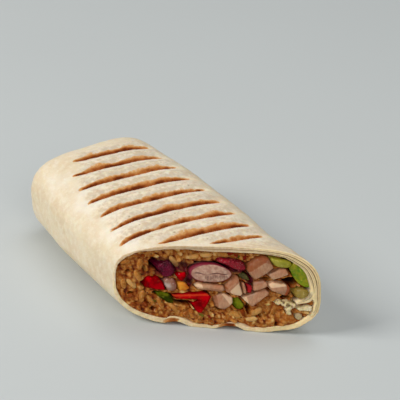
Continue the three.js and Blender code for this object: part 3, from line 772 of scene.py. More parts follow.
def make_tortilla():
    angles = even_angles(TORTILLA_COLUMNS)
    shares = RIM_SHARES[1:, None]
    rim_edge = rim_station(angles, 0.0, rim_setback(angles, 0.0))
    along = np.linspace(0, 1, OUTSIDE_ROWS + 1)[1:, None]
    stations = lerp(CLOSED_END + END_STEPS[-1], rim_edge, along)
    stations = np.concatenate([CLOSED_END + END_STEPS + 0 * angles, stations])
    outside, toast, rib, rib_light_and_shoulder = pressed_surface(stations, angles)
    cap, centre = closed_cap(outside)
    parts = [cap, outside, cut_rim(angles, shares, rim_edge), inner_wall(angles)]
    points, faces = closed_loft(np.concatenate(parts), centre)

    def over_parts(*numbers):
        """An attribute from its numbers on the outside, the rim and the wall. It is 0 on the closed end."""
        rows = [np.zeros(part.shape[:2]) + number for part, number in zip(parts, (0, *numbers))]
        return np.append(np.concatenate(rows), [0, 0])

    seared_through = np.where(np.sin(angles) < 0, 0.75, 0.2)
    edge_toast = toast[-1:] * fade(shares, seared_through - 0.2, seared_through + 0.2)
    values = {
        "toast": over_parts(toast, edge_toast, 0),
        "rim": over_parts(0, 1, 1),
        "rib": over_parts(rib, 0, 0),
        # painted rib highlight and shade, and the lighter -Y shoulder
        "rib_light_and_shoulder": over_parts(rib_light_and_shoulder, 0, 0),
        # tan: painted shade along the ply lines and between the layers of the rim, darker along the rim's
        # top, and 0.5 on the inner wall
        "tan": over_parts(ply_lines(outside), rim_painted_shade_and_tan(angles, shares), 0.5),
        "painted_glow": over_parts(0, rim_painted_glow(angles, shares), 0),
    }
    add_piece("wheat_tortilla", points, faces, TORTILLA, values, "tortilla", "tortilla")


# The curled end of the innermost layer at the cut: its upper and its under side.
LIP_OVER = np.array([
    (36.4, 21.5), (36.35, 20.0), (36.1, 18.6), (35.6, 17.4), (34.3, 16.2), (32.8, 15.2), (31.0, 14.3),
])
LIP_UNDER = np.array([
    (38.7, 21.5), (38.6, 19.5), (38.2, 17.6), (37.3, 15.9), (35.6, 14.5), (33.4, 13.5), (31.0, 13.2),
])


def smooth_line(corners, count, rounds):
    fine = np.linspace(0, len(corners) - 1, count)
    line = np.stack([np.interp(fine, np.arange(len(corners)), corners[:, k]) for k in (0, 1)], axis=-1)
    for _ in range(rounds):
        line[1:-1] = (line[:-2] + 2 * line[1:-1] + line[2:]) / 4
    return line


def make_inner_lip():
    """The end of the innermost layer, curled off the wall into the filling."""
    over, under = smooth_line(LIP_OVER, 34, 8), smooth_line(LIP_UNDER, 34, 8)
    spine = (over + under) / 2
    spine = np.concatenate([spine, spine[::-1]])
    loop = np.concatenate([over, under[::-1]])
    depths = np.array([0.3, 0.32, 0.36, 0.5, 0.9, 1.5, 2.4, 3.6, 5.5, 10, 16, 26, 40, 60])
    widths = np.array([0.2, 0.5, 0.8, 0.95] + [1.0] * 10)
    rings = []
    for depth, width in zip(depths, widths):
        u, z = coordinates(spine + (loop - spine) * width)
        uneven = 0.25 * noise(point(u, z, 3.0), 3, 51, 3)
        sag = 0.25 * math.sin(depth * 0.7) * (u < 36)
        rings.append(cut_point(u, z + sag, depth + uneven))
    points, faces = closed_loft(np.stack(rings))
    tan = np.append((0.05 + 0.75 * smoothstep(depths, 0.6, 2.5)).repeat(len(loop)), [0.1, 0.7])
    blank = np.zeros(len(points))
    # the front of the lip gets a painted glow
    values = {"toast": blank, "rim": blank + 1, "rib": blank, "tan": tan, "painted_glow": np.where(tan > 0.2, 0, 0.6)}
    add_piece("tortilla_inner_end", points, faces, TORTILLA, values, "tortilla", "tortilla")


# ---- Pieces that are cut through ----

SWELL = 0.16  # makes up for what rounding the edges takes off


def soft_copy(node, voxel, rounding, lump, lump_size, seed):
    """A CAD piece as food: its sharp edges rounded off, and its faces uneven."""
    work = add_object(node + "_work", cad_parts[node].data.copy())
    remesh = work.modifiers.new("remesh", "REMESH")
    remesh.mode = "VOXEL"
    remesh.voxel_size = voxel / 1000
    smooth = work.modifiers.new("smooth", "SMOOTH")
    smooth.factor = 0.5
    smooth.iterations = rounding
    mesh = bpy.data.meshes.new_from_object(work.evaluated_get(bpy.context.evaluated_depsgraph_get()))
    bpy.data.objects.remove(work)
    places = np.empty(len(mesh.vertices) * 3, np.float32)
    normals = np.empty(len(mesh.vertices) * 3, np.float32)
    mesh.vertices.foreach_get("co", places)
    mesh.vertex_normals.foreach_get("vector", normals)
    faces = [tuple(polygon.vertices) for polygon in mesh.polygons]
    bpy.data.meshes.remove(mesh)
    points = from_frame(places.reshape(-1, 3).astype(float))
    normals = normals.reshape(-1, 3).astype(float)
    points = points + normals * (SWELL + lump * noise(points, lump_size, seed, 3))[:, None]
    return points, normals, faces


def edge_distance(points, normals, reach):
    """0 at the edge of the cut face and on the sides, 1 further in on the face."""
    facing = normals @ CUT_NORMAL
    sides = points[facing < 0.4]
    tree = KDTree(len(sides))
    for index, side in enumerate(sides):
        tree.insert(side, index)
    tree.balance()
    near = np.array([tree.find(place)[2] for place in points])
    return np.clip(near / reach, 0, 1) * smoothstep(facing, 0.35, 0.8)


# Ridges across the faces of the diced pieces: a place on the ridge, the way its far side falls in degrees,
# how steeply it falls, and how much browner or darker or, below 0, how much paler that side is. The paler
# sides are painted highlights.
RIDGES = {
    "chicken_1": [((-2.0, 17.6), -92, 0.5, 0.35), ((-5.4, 17.8), 178, 0.2, -0.6)],
    "chicken_2": [
        ((0.9, 12.0), 184, 0.55, 0.6), ((4.0, 12.6), 35, 0.15, -0.45), ((2.5, 9.6), -80, 0.4, 0.25),
    ],
    "chicken_3": [((6.8, 20.0), 129, 0.7, 0.5), ((7.3, 19.4), -51, 0.1, -0.6), ((5.2, 17.0), 215, 0.5, 0.5)],
    "chicken_4": [
        ((16.5, 28.8), 128, 0.5, 0.7), ((20.2, 29.8), 72, 0.5, 0.55), ((14.8, 25.0), 200, 0.2, 0.3),
    ],
    "chicken_5": [((23.6, 24.6), -70, 0.6, -0.5), ((27.2, 27.0), 30, 0.4, 0.5)],
    "chicken_6": [((16.6, 20.3), 121, 0.7, 0.5)],
    "chicken_7": [((24.4, 19.2), -82, 0.4, 0.2), ((26.7, 18.0), -8, 0.3, 1.8), ((23.8, 20.4), 98, 0.2, -0.6)],
    "chicken_8": [((15.2, 16.2), 115, 0.9, 0.35), ((12.4, 13.4), 190, 0.35, -0.5)],
    "chicken_9": [((11.5, 18.0), 10, 0.5, 0.2)],
    "red_pepper_1": [((-20.6, 18.6), 60, 0.4, 0.3)],
    "red_pepper_3": [
        ((-9.0, 13.2), 98, 0.0, -0.4), ((-9.0, 14.1), 98, 0.25, 0.9), ((-4.0, 11.0), -20, 0.3, 0.2),
    ],
    "green_pepper_2": [((9.6, 12.4), 40, 0.4, -0.2)],
}

# How much further forward a piece stands than its solid, and how much more it swells.
STANDING = {
    "chicken_1": (0.9, 0.3), "chicken_4": (0.9, 0.1), "chicken_5": (0.9, 0.1), "chicken_6": (0.7, 0.15),
    "chicken_7": (0.5, 0.1), "chicken_9": (0.6, 0.1), "chicken_2": (0.3, 0.1), "chicken_3": (0.3, 0.1),
    "red_pepper_1": (0.9, 0.1), "red_pepper_2": (0.9, 0.3), "lettuce_1": (0.8, 0.3), "onion_2": (1.3, 0.0),
    "onion_1": (0.5, 0.2), "red_cabbage_1": (0.8, 0.1), "red_cabbage_2": (0.5, 0.2), "herb": (0.4, 0.1),
    "white_cabbage_1": (0.9, 0.1), "white_cabbage_2": (0.7, 0.1), "white_cabbage_3": (0.5, 0.15),
    "green_pepper_1": (0.5, 0.2), "yellow_pepper": (0.5, 0.25), "tomato": (0.5, 0.1),
}


def with_facets(points, ridges, forward):
    """The front of a piece cut back beyond each of its ridges, and the tone of each point."""
    u, z = cut_place(points)
    fall, tone = np.zeros(len(points)), np.zeros(len(points))
    for (u0, z0), way, slope, brown in ridges:
        beyond = (u - u0) * math.cos(math.radians(way)) + (z - z0) * math.sin(math.radians(way))
        fall += slope * np.clip(beyond, 0, 3)
        # tone above 0 is browner or darker; below 0 it is a painted highlight
        tone += brown * smoothstep(beyond, -0.15, 0.35)
    fall = (fall - forward) * fade(behind_cut(points), 2.5, 7.5)
    return points - np.array([1 / COS_BIAS, 0, 0]) * fall[:, None], tone


def make_chunk(node, material, voxel=0.22, rounding=2, lump=0.1, lump_size=2.5, reach=1.1):
    """A cut piece from its solid."""
    seed = sum(ord(letter) for letter in node)
    points, normals, faces = soft_copy(node, voxel, rounding, lump, lump_size, seed)
    forward, fuller = STANDING.get(node, (0, 0))
    points = points + normals * fuller
    edge = edge_distance(points, normals, reach)
    points, tone = with_facets(points, RIDGES.get(node, []), forward)
    slot = node.rstrip("_0123456789")
    add_piece(node + "_look", points, faces, material, {"edge": edge, "tone": tone}, slot, node)


LEAF = np.array([
    (28.7, 28.2), (29.0, 29.8), (30.4, 30.8), (32.4, 29.3), (34.6, 27.0), (36.0, 24.4),
    (36.7, 22.0), (36.5, 20.8), (34.3, 21.0), (32.2, 22.0), (30.2, 25.0),
])
LEAF_BACK = 1.3
LEAF_THICKNESS = 1.1


def smooth_outline(corners, count):
    """A closed outline with its corners rounded off, as evenly spaced places."""
    loop = np.repeat(corners, 12, axis=0)
    for _ in range(30):
        loop = (np.roll(loop, 1, axis=0) + 2 * loop + np.roll(loop, -1, axis=0)) / 4
    closed = np.concatenate([loop, loop[:1]])
    lengths = np.concatenate([[0], np.cumsum(np.linalg.norm(np.diff(closed, axis=0), axis=1))])
    steps = np.arange(count) / count * lengths[-1]
    return np.stack([np.interp(steps, lengths, closed[:, k]) for k in (0, 1)], axis=-1)


def make_leaf(node, material, slot):
    """A crinkled leaf that lies across the cut."""
    edge = smooth_outline(LEAF, 120)
    middle = edge.mean(axis=0)
    shares = np.concatenate([np.linspace(0.03, 1, 26), [1.015, 1.0], np.linspace(0.96, 0.03, 16)])
    depths = np.concatenate([np.zeros(26), [0.35, 0.75], np.ones(16)]) * LEAF_THICKNESS
    u, z = coordinates(middle + (edge - middle) * shares[:, None, None])
    ground = point(u, z, 0)
    crinkle = 0.55 * noise(ground, 3.4, 91) + 0.35 * np.abs(noise(ground, 1.7, 92, 1))
    points, faces = closed_loft(cut_point(u, z, LEAF_BACK + crinkle + depths[:, None]))
    add_piece(node + "_look", points, faces, material, {"edge": np.ones(len(points))}, slot, node)


BEAN_PLACE = (-1.8, 23.6)
BEAN_HALF_LONG, BEAN_HALF_HIGH = 8.15, 4.15
BEAN_TURN = math.radians(4)
BEAN_BACK = 0.9


def bean_veins(a, b):
    """How dark the cut face is: a seam along it, and short cracks below the seam."""
    seam_line = 0.25 * np.sin(a * 0.9) + 0.1
    below = seam_line - b
    seam = bell(b - seam_line, 0.2 + 0.06 * (a < -3)) * fade(np.abs(a), 5.6, 7.0)
    cracks = 0
    for index, at in enumerate(np.linspace(-2.2, 5.6, 15)):
        tilt = 0.22 * at / 5.6 + 0.1 * math.sin(index * 2.3)
        start = 0.5 + 0.3 * math.sin(index * 2.9) ** 2
        end = 1.7 + 0.8 * math.sin(index * 1.7) ** 2
        reach = between(below, start - 0.2, start + 0.2, end, end + 0.4)
        cracks = np.maximum(cracks, 0.6 * bell(a - at + tilt * b, 0.15) * reach)
    return np.clip(seam * (1 - 0.75 * bell(a + 1.8, 1.6)) + cracks, 0, 1)


def make_bean():
    """Cut lengthwise: a pale face with a dark seam and short cracks, in a thin dark skin."""
    rows = 30
    angle = np.linspace(0, 2 * math.pi, 96, endpoint=False)[None, :]
    share = np.append(np.linspace(0.02, 0.93, rows), [0.965, 0.99, 1.0, 0.985, 0.88, 0.66, 0.38, 0.1])
    depth = np.append(np.zeros(rows), [0.03, 0.14, 0.4, 1.6, 3.4, 4.8, 5.4, 5.5])
    share, depth = share[:, None], depth[:, None]
    a = BEAN_HALF_LONG * np.sign(np.cos(angle)) * np.abs(np.cos(angle)) ** 0.92 * share
    b = BEAN_HALF_HIGH * np.sin(angle) * share
    towards_end = a / BEAN_HALF_LONG
    b = b * (1 - 0.22 * np.clip(towards_end, 0, 1) ** 2 - 0.1 * np.clip(-towards_end, 0, 1) ** 2)
    b = b + 0.45 * bell(a, BEAN_HALF_LONG / 2) * (np.sin(angle) < 0) * share
    vein = bean_veins(a, b) * (depth < 0.01)
    dome = 0.5 * (1 - share**2)
    u0, z0 = BEAN_PLACE
    cos, sin = math.cos(BEAN_TURN), math.sin(BEAN_TURN)
    rings = cut_point(u0 + a * cos - b * sin, z0 + a * sin + b * cos, BEAN_BACK + depth - dome + 0.22 * vein)
    rings = rings + CUT_NORMAL * (0.1 * noise(rings, 1.8, 61, 3))[..., None]
    points, faces = closed_loft(rings)
    skin = smoothstep(share + 0.02 * noise(rings, 1.5, 62), 0.91, 0.96)
    values = {"vein": np.append(vein, [0, 0]), "skin": np.append(skin, [0, 1])}
    add_piece("kidney_bean_look", points, faces, bean_material(), values, "bean", "kidney_bean")


# ---- Rice ----

# Hollows between the grains, pushed in and painted near-black as shade: place on the cut, half sizes and
# strength.
PITS = [
    ((-23.3, 25.7), (2.1, 2.4), 1.0), ((-28.1, 17.1), (1.2, 1.5), 0.6), ((-21.9, 13.4), (2.8, 0.9), 0.7),
    ((-17.2, 4.4), (2.0, 0.9), 0.25), ((-12.3, 9.9), (3.8, 1.1), 0.85), ((-1.7, 4.0), (0.7, 0.7), 0.4),
    ((0.9, 8.2), (2.4, 0.8), 0.6), ((13.0, 9.3), (1.1, 2.4), 0.6), ((17.6, 6.8), (0.6, 1.1), 0.5),
    ((23.1, 4.0), (0.6, 0.8), 0.7), ((27.5, 15.4), (2.0, 1.0), 0.8), ((29.6, 22.3), (3.0, 1.9), 1.0),
    ((31.9, 20.0), (0.7, 0.7), 0.7), ((34.3, 15.6), (1.2, 0.5), 0.5), ((19.4, 22.8), (2.0, 0.8), 0.8),
    ((11.7, 19.7), (1.2, 1.3), 0.7), ((18.4, 16.6), (2.0, 0.8), 0.6), ((8.5, 22.0), (1.0, 1.1), 0.9),
    ((7.3, 33.1), (1.5, 0.6), 0.5), ((4.2, 14.8), (2.4, 0.6), 0.7), ((-33.5, 12.5), (1.4, 0.7), 0.5),
    ((-27.5, 23.3), (0.7, 1.3), 0.5), ((-33.8, 22.0), (1.4, 0.6), 0.45), ((-25.0, 6.8), (1.5, 0.7), 0.4),
]
# Where juice has stained the rice: place on the cut and half sizes.
STAINS = [
    ((-2.2, 23.8), (10.6, 5.0)), ((-11.0, 20.6), (3.0, 4.6)), ((-18.8, 24.6), (5.6, 4.4)),
    ((8.5, 27.0), (6.2, 3.0)), ((13.3, 21.2), (2.2, 3.6)), ((-12.4, 25.4), (3.2, 2.4)),
]
# Grains that stand out: place on the cut, turn in degrees, length and shade.
SHOWN_GRAINS = [
    (-27.3, 20.4, -81, 6.0, 0.86), (-30.2, 20.3, -61, 5.0, 0.8), (-36.0, 16.5, 95, 4.6, 0.74),
    (-32.8, 16.8, -44, 4.8, 0.92), (-24.6, 22.2, -55, 4.8, 0.84), (-20.7, 28.9, -75, 5.2, 0.95),
    (-15.4, 27.2, -46, 5.2, 0.9), (-7.6, 29.6, 15, 5.0, 0.88), (-28.9, 12.0, -102, 4.8, 0.76),
    (-25.3, 9.9, -53, 5.0, 0.82), (-35.0, 25.9, 23, 4.8, 0.7), (-29.2, 25.3, -96, 4.8, 0.68),
    (8.0, 6.6, -27, 5.4, 0.84), (14.1, 5.2, 12, 5.0, 1.0), (16.5, 8.4, 45, 5.2, 0.9),
    (21.0, 4.7, -112, 5.0, 0.74), (24.9, 4.6, -75, 4.8, 0.72), (-16.4, 7.6, -39, 5.0, 0.78),
    (-21.4, 9.2, -61, 4.8, 0.72), (-2.9, 31.0, 10, 5.0, 0.9), (3.4, 31.6, -8, 5.0, 0.8),
]
RELIEF_GRAINS, RELIEF_SEED = 3400, 11
GRAIN_TRIES, GRAIN_SEED = 2600, 5
CORE_COLUMNS, CORE_ROWS = 540, 92
CORE_SETBACK = 0.25  # from the loose grains to the relief of the core
WALL_ROOM, END_ROOM, LIP_ROOM = 0.5, 0.4, 1.9  # what a loose grain's middle and ends keep off
SEARCH_REACH = 4
RAY_START, RAY_LENGTH = -3.0, 12


def nearness(u, z, spots):
    """1 in the middle of the nearest spot, or its own strength, and 0 from its edge out."""
    total = np.zeros(np.broadcast(u, z).shape)
    for (u0, z0), (wide, high), *strength in spots:
        share = fade(np.hypot((u - u0) / wide, (z - z0) / high), 0.6, 1.2)
        total = np.maximum(total, share * (strength[0] if strength else 1))
    return total


def lip_room(u, z):
    """Distance from the middle line of the inner lip."""
    nearest = np.full(np.broadcast(u, z).shape, 99.0)
    middle = (LIP_OVER + LIP_UNDER) / 2
    for (u0, z0), (u1, z1) in zip(middle[:-1], middle[1:]):
        along = ((u - u0) * (u1 - u0) + (z - z0) * (z1 - z0)) / ((u1 - u0) ** 2 + (z1 - z0) ** 2)
        along = np.clip(along, 0, 1)
        nearest = np.minimum(nearest, np.hypot(u - lerp(u0, u1, along), z - lerp(z0, z1, along)))
    return nearest


def stain_of(points):
    stain = nearness(*cut_place(points), STAINS)
    return np.clip(stain + 0.25 * noise(points, 3, 71), 0, 1) * (stain > 0)


def rice_face(u, z):
    """How far behind the rim the face of the heap lies."""
    forward = 0.7 * fade(z, 3, 9) + 0.4 * smoothstep(u, 28, 34) + 0.8 * smoothstep(-u, 24, 33)
    lean = RICE_LEAN * (z - WAIST_HEIGHT)
    return RICE_RECESS + lean - forward + 0.35 * noise(point(u, z, 0), 8, 72) + 3.5 * nearness(u, z, PITS)


def on_rice(u, z, behind):
    """A single place on the face of the heap, moved this far behind it."""
    return cut_point(u, z, rice_face(np.array([u]), np.array([z]))[0] + behind)


def grain_relief(u, z):
    """The face of a heap pressed together: how far each place stands out, and the shade of its grain."""
    random = np.random.default_rng(RELIEF_SEED)
    height, shade = np.full(u.shape, -1.3), np.full(u.shape, 0.25)
    for _ in range(RELIEF_GRAINS):
        at_u, at_z, lie = random.uniform(-40, 41), random.uniform(0, 35), random.uniform(0, math.pi)
        half_long, half_wide = 2.3 + 0.3 * random.normal(), 1.1 + 0.1 * random.normal()
        lift, slope = random.uniform(-1.75, -0.5), 0.3 * random.normal()
        grain_shade = np.clip(0.5 + 0.16 * random.normal(), 0, 0.95) if random.uniform() > 0.05 else 1.0
        near = np.nonzero((np.abs(u - at_u) < 2.8) & (np.abs(z - at_z) < 2.8))
        across, up = u[near] - at_u, z[near] - at_z
        along = (across * math.cos(lie) + up * math.sin(lie)) / half_long
        aside = (up * math.cos(lie) - across * math.sin(lie)) / half_wide
        inside = 1 - np.abs(along) ** 2.4 - aside**2
        stands = lift + slope * along * half_long + half_wide * np.sqrt(np.maximum(inside, 0))
        wins = (inside > 0) & (stands > height[near])
        spots = tuple(index[wins] for index in near)
        height[spots] = stands[wins]
        shade[spots] = grain_shade
    return height, shade


def blurred(values, rounds):
    """Evened out over a grid of rings, each ring closed."""
    for _ in range(rounds):
        values = (np.roll(values, 1, axis=1) + 2 * values + np.roll(values, -1, axis=1)) / 4
        padded = np.concatenate([values[:1], values, values[-1:]])
        values = (padded[:-2] + 2 * values + padded[2:]) / 4
    return values


def filling_solids():
    """The points in millimetres and the faces of each solid that the rice has to keep off."""
    for name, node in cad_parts.items():
        if name not in ("rice", "tortilla"):
            points = from_frame([tuple(vertex.co) for vertex in node.data.vertices])
            yield points, [tuple(polygon.vertices) for polygon in node.data.polygons]


def piece_depths(u, z):
    """How far behind the face the nearest other piece of the filling lies at each place, or nan."""
    points, faces = [], []
    for solid_points, solid_faces in filling_solids():
        faces += [tuple(index + len(points) for index in face) for face in solid_faces]
        points += [Vector(place) for place in solid_points]
    tree = BVHTree.FromPolygons(points, faces)
    starts = cut_point(u, z, RAY_START).reshape(-1, 3)
    depths = np.full(len(starts), np.nan)
    for index, start in enumerate(starts):
        hit = tree.ray_cast(Vector(start), Vector((-1, 0, 0)), RAY_LENGTH)[0]
        if hit is not None:
            depths[index] = behind_cut(np.array(hit))
    return depths.reshape(u.shape)


def make_rice_core():
    """The body of the heap, which fills the roll, with the relief of its grains on the face."""
    angles = even_angles(CORE_COLUMNS)
    edge = inside_point(rim_station(angles, wrap_thickness(angles), 1.2), angles, 0.05)
    share = np.linspace(0.01, 1, CORE_ROWS)[:, None] ** 0.9
    u, z = (lerp(middle, end, share) for middle, end in zip((0.0, WAIST_HEIGHT), cut_place(edge)))
    relief, shade = (blurred(values, 1) for values in grain_relief(u, z))
    # painted shade in the hollows between the grains of the relief, and a painted highlight on the grains
    # that stand out
    painted_crevice_shade = np.clip((blurred(relief, 12) - relief) * 1.5, -0.3, 0.8)
    pieces = piece_depths(u, z)
    covered = blurred(np.where(np.isnan(pieces), 0.0, 1.0), 5)
    crowded = blurred(covered, 40)
    pits = nearness(u, z, PITS)
    behind = rice_face(u, z) + CORE_SETBACK - relief * (1 - 0.6 * smoothstep(share, 0.97, 1.0))
    behind = behind + 1.3 * smoothstep(covered, 0.01, 0.4) + 1.2 * smoothstep(crowded, 0.2, 0.6)
    behind = np.fmax(behind, pieces + 1.0) + 2.2 * fade(lip_room(u, z), 0.9, 2.4)
    rear = np.linspace(0, 1, 12)[1:, None]
    body_x = lerp(rim_station(angles, wrap_thickness(angles), 3.0), CLOSED_END + END_WALL + 0.3, rear)
    body = inside_point(body_x, angles, 0.1)
    points, faces = closed_loft(np.concatenate([cut_point(u, z, behind), body]))
    # painted shade towards the left of the cut and in the crevices; lighter towards the top
    shade = shade - 0.14 * smoothstep(-u, 16, 30) + 0.06 * smoothstep(z, 26, 30) - painted_crevice_shade
    # painted shade around and between the pieces and in the hollows
    shade = shade - 0.3 * smoothstep(covered, 0.02, 0.4) - 0.3 * smoothstep(crowded, 0.15, 0.5) - 0.35 * pits
    # gaps: near-black painted shade between crowded pieces
    gaps = 0.75 * smoothstep(crowded, 0.12, 0.5) * smoothstep(covered, 0.03, 0.3)
    painted_pit_shade = np.maximum(smoothstep(pits, 0.1, 1) * 0.97, gaps)
    beyond_face = len(points) - u.size
    values = {
        "stain": stain_of(points),
        "shade": np.append(np.clip(shade, 0, 1), np.full(beyond_face, 0.4)),
        "painted_pit_shade": np.append(painted_pit_shade, np.zeros(beyond_face)),
    }
    add_piece("rice_core", points, faces, RICE, values, "rice", "rice")


def unit_grain(rings=9, sides=8):
    """A grain along X from -1 to 1, with blunt ends."""
    along = np.sin(np.linspace(-1, 1, rings + 2)[1:-1] * math.pi / 2 * 0.96)[:, None]
    radius = (1 - np.abs(along) ** 2.6) ** 0.5
    angle = np.linspace(0, 2 * math.pi, sides, endpoint=False)[None, :]
    return closed_loft(point(along, radius * np.cos(angle), radius * np.sin(angle)), (-1, 0, 0), (1, 0, 0))


def joined(grains, unit_faces):
    """The points and faces of many grains, each with the faces of the unit grain, as one mesh."""
    faces = []
    for first in range(0, len(grains) * len(grains[0]), len(grains[0])):
        faces += [tuple(corner + first for corner in face) for face in unit_faces]
    return np.concatenate(grains), faces


def clear_of(trees, place, room):
    for tree in trees:
        hit, normal, _, distance = tree.find_nearest(Vector(place), SEARCH_REACH)
        if hit is not None and ((Vector(place) - hit).dot(normal) < 0 or distance < room):
            return False
    return True


def wall_room(u, z, wall):
    """How far a place on the cut is inside the hollow."""
    wall_u, wall_z = wall
    distance = np.hypot(wall_u - u, wall_z - z)
    nearest = int(np.argmin(distance))
    inward = np.array([-wall_u[nearest], WAIST_HEIGHT - wall_z[nearest]])
    toward = np.array([u - wall_u[nearest], z - wall_z[nearest]])
    return distance[nearest] * (1 if inward @ toward > 0 else -1)


def random_grain(random):
    """Place on the cut, turn, rise, half length, half width and shade."""
    u, z = random.uniform(-38, 40), random.uniform(2, 34)
    lie = random.uniform(0, math.pi)
    rise = random.normal() * 0.4
    half_long = 2.4 + 0.3 * random.normal()
    half_wide = 1.12 + 0.1 * random.normal()
    # painted shade: grains darker towards the left of the cut
    shade = np.clip(0.44 + 0.13 * random.normal() - 0.1 * smoothstep(-u, 16, 30), 0.1, 0.85)
    return u, z, lie, rise, half_long, half_wide, shade


def grain_fits(middle, ends, spots, room, trees, wall):
    """Whether a grain lies in the hollow, and clear of the solids, the pits and the inner lip."""
    places = [cut_place(end) for end in ends]
    return (
        wall_room(*cut_place(middle), wall) >= WALL_ROOM
        and min(wall_room(*place, wall) for place in places) >= END_ROOM
        and all(clear_of(trees, spot, room) for spot in (*spots, *ends))
        and nearness(*cut_place(middle), PITS) <= 0.2
        and min(float(lip_room(*place)) for place in places) >= LIP_ROOM
    )


def grain_poses(random):
    """Where the grains lie: each as its middle, direction, half length, half width and shade."""
    trees = [BVHTree.FromPolygons(points.tolist(), faces) for points, faces in filling_solids()]
    rim = np.linspace(-math.pi, math.pi, 400)
    wall = cut_place(inside_point(rim_station(rim, wrap_thickness(rim), 2.0), rim, 0))
    poses, beads, sizes = [], np.empty((0, 3)), np.empty(0)
    shown = len(SHOWN_GRAINS)
    for index, lift in enumerate(np.append(np.zeros(shown), random.uniform(0.35, 1.4, GRAIN_TRIES))):
        u, z, lie, rise, half_long, half_wide, shade = random_grain(random)
        if index < shown:
            u, z, lie, half_long, shade = SHOWN_GRAINS[index]
            lie, rise, half_long, half_wide = math.radians(lie), 0.1, half_long / 2, 1.25
        middle = on_rice(u, z, lift)
        flat = math.cos(lie) * CUT_ALONG + math.sin(lie) * UPWARD
        direction = math.cos(rise) * flat + math.sin(rise) * CUT_NORMAL
        spots = middle + np.array([-0.62, 0, 0.62])[:, None] * half_long * direction
        ends = middle + np.array([-0.9, 0.9])[:, None] * half_long * direction
        gaps = np.linalg.norm(beads[:, None] - spots[None], axis=2)
        if (gaps < 0.8 * (sizes[:, None] + half_wide)).any():
            continue
        room = (0.4 if index < shown else 0.85) * half_wide
        if grain_fits(middle, ends, spots, room, trees, wall):
            beads = np.concatenate([beads, spots])
            sizes = np.append(sizes, np.full(3, half_wide))
            poses.append((middle, direction, half_long, half_wide, shade))
    return poses


def make_grains():
    random = np.random.default_rng(GRAIN_SEED)
    unit, unit_faces = unit_grain()
    grains, shades = [], []
    for middle, direction, half_long, half_wide, shade in grain_poses(random):
        side = np.cross(direction, random.normal(size=3))
        side /= np.linalg.norm(side)
        bent = unit.copy()
        bent[:, 1] += random.uniform(-0.25, 0.35) * (bent[:, 0] ** 2 - 0.3)
        bent *= [half_long, half_wide, half_wide * random.uniform(0.78, 0.95)]
        placed = middle + bent @ np.stack([direction, side, np.cross(direction, side)])
        grains.append(placed + 0.07 * noise(placed, 1.2, 81)[:, None] * CUT_NORMAL)
        shades.append(shade)
    points, faces = joined(grains, unit_faces)
    values = {"shade": np.repeat(shades, len(unit)), "stain": stain_of(points) * 0.85}
    add_piece("rice_grains", points, faces, RICE, values, "rice", "rice")


# Scraps that stick to the rice: place on the cut, half length and kind.
SCRAPS = [
    (3.2, 31.6, 1.3, "red"), (6.4, 32.2, 1.6, "red"), (8.6, 31.3, 1.0, "red"), (12.9, 31.8, 1.2, "red"),
    (11.0, 30.6, 1.5, "red"), (-2.6, 4.9, 0.8, "red"), (23.1, 4.6, 0.7, "red"), (-23.8, 9.8, 0.7, "green"),
    (-5.8, 5.4, 1.0, "green"), (9.8, 31.2, 0.9, "green"),
]


def make_scraps(name, kind, material, slot):
    """Small flat scraps of vegetable that stick to the rice."""
    unit, unit_faces = unit_grain()
    scraps = []
    for index, (u, z, half, colour) in enumerate(SCRAPS):
        if colour != kind:
            continue
        turn = 0.8 * math.sin(index * 2.3)
        across = math.cos(turn) * CUT_ALONG + math.sin(turn) * UPWARD
        axes = np.stack([across, np.cross(CUT_NORMAL, across), CUT_NORMAL])
        placed = on_rice(u, z, -0.25) + (unit * [half, half * 0.55, 0.3]) @ axes
        scraps.append(placed + 0.25 * noise(placed, 0.9, 95)[:, None] * across)
    points, faces = joined(scraps, unit_faces)
    blank = np.zeros(len(points))
    add_piece(name, points, faces, material, {"edge": blank + 1, "tone": blank}, slot)


# ---- Scene ----

CAMERA_PLACE = Vector((0.58111, -0.30246, 0.35186))
CAMERA_AZIMUTH = math.radians(61.1416)
CAMERA_ELEVATION = math.radians(25.7344)
CAMERA_LENS = 164.2
SENSOR_WIDTH = 36
FLOOR_REACH = 4.0


def make_camera():
    data = bpy.data.cameras.new("camera")
    data.lens = CAMERA_LENS
    data.sensor_width = SENSOR_WIDTH
    data.sensor_fit = "HORIZONTAL"
    camera = add_object("camera", data)
    turn = Euler((math.pi / 2 - CAMERA_ELEVATION, 0, CAMERA_AZIMUTH)).to_matrix().to_4x4()
    camera.matrix_world = Matrix.Translation(CAMERA_PLACE) @ turn
    bpy.context.scene.camera = camera


def area_light(name, place, size, watts, colour, target=(0, 0, 0.015)):
    data = bpy.data.lights.new(name, "AREA")
    data.shape = "RECTANGLE"
    data.size, data.size_y = size
    data.energy = watts
    data.color = colour
    light = add_object(name, data)
    light.location = place
    light.rotation_euler = (Vector(target) - Vector(place)).to_track_quat("-Z", "Y").to_euler()


def make_studio():
    reach = FLOOR_REACH
    corners = [(-reach, -reach, 0), (reach, -reach, 0), (reach, reach, 0), (-reach, reach, 0)]
    mesh = bpy.data.meshes.new("floor")
    mesh.from_pydata(corners, [], [(0, 1, 2, 3)])
    mesh.materials.append(floor_material())
    floor = add_object("floor", mesh)
    area_light("key", (-0.35, -1.15, 1.0), (0.8, 0.7), 16, (1.0, 0.985, 0.96))
    area_light("fill", (1.25, -0.35, 0.9), (0.7, 0.6), 6, (1.0, 0.99, 0.97))
    area_light("top", (-0.2, 0.4, 1.4), (0.9, 0.9), 6, (1.0, 1.0, 1.0))
    world = bpy.data.worlds.new("studio")
    bpy.context.scene.world = world
    world.use_nodes = True
    background = world.node_tree.nodes["Background"]
    background.inputs["Color"].default_value = (0.93, 0.96, 1.0, 1.0)
    background.inputs["Strength"].default_value = 0.2
    bpy.context.scene.view_settings.view_transform = "Standard"


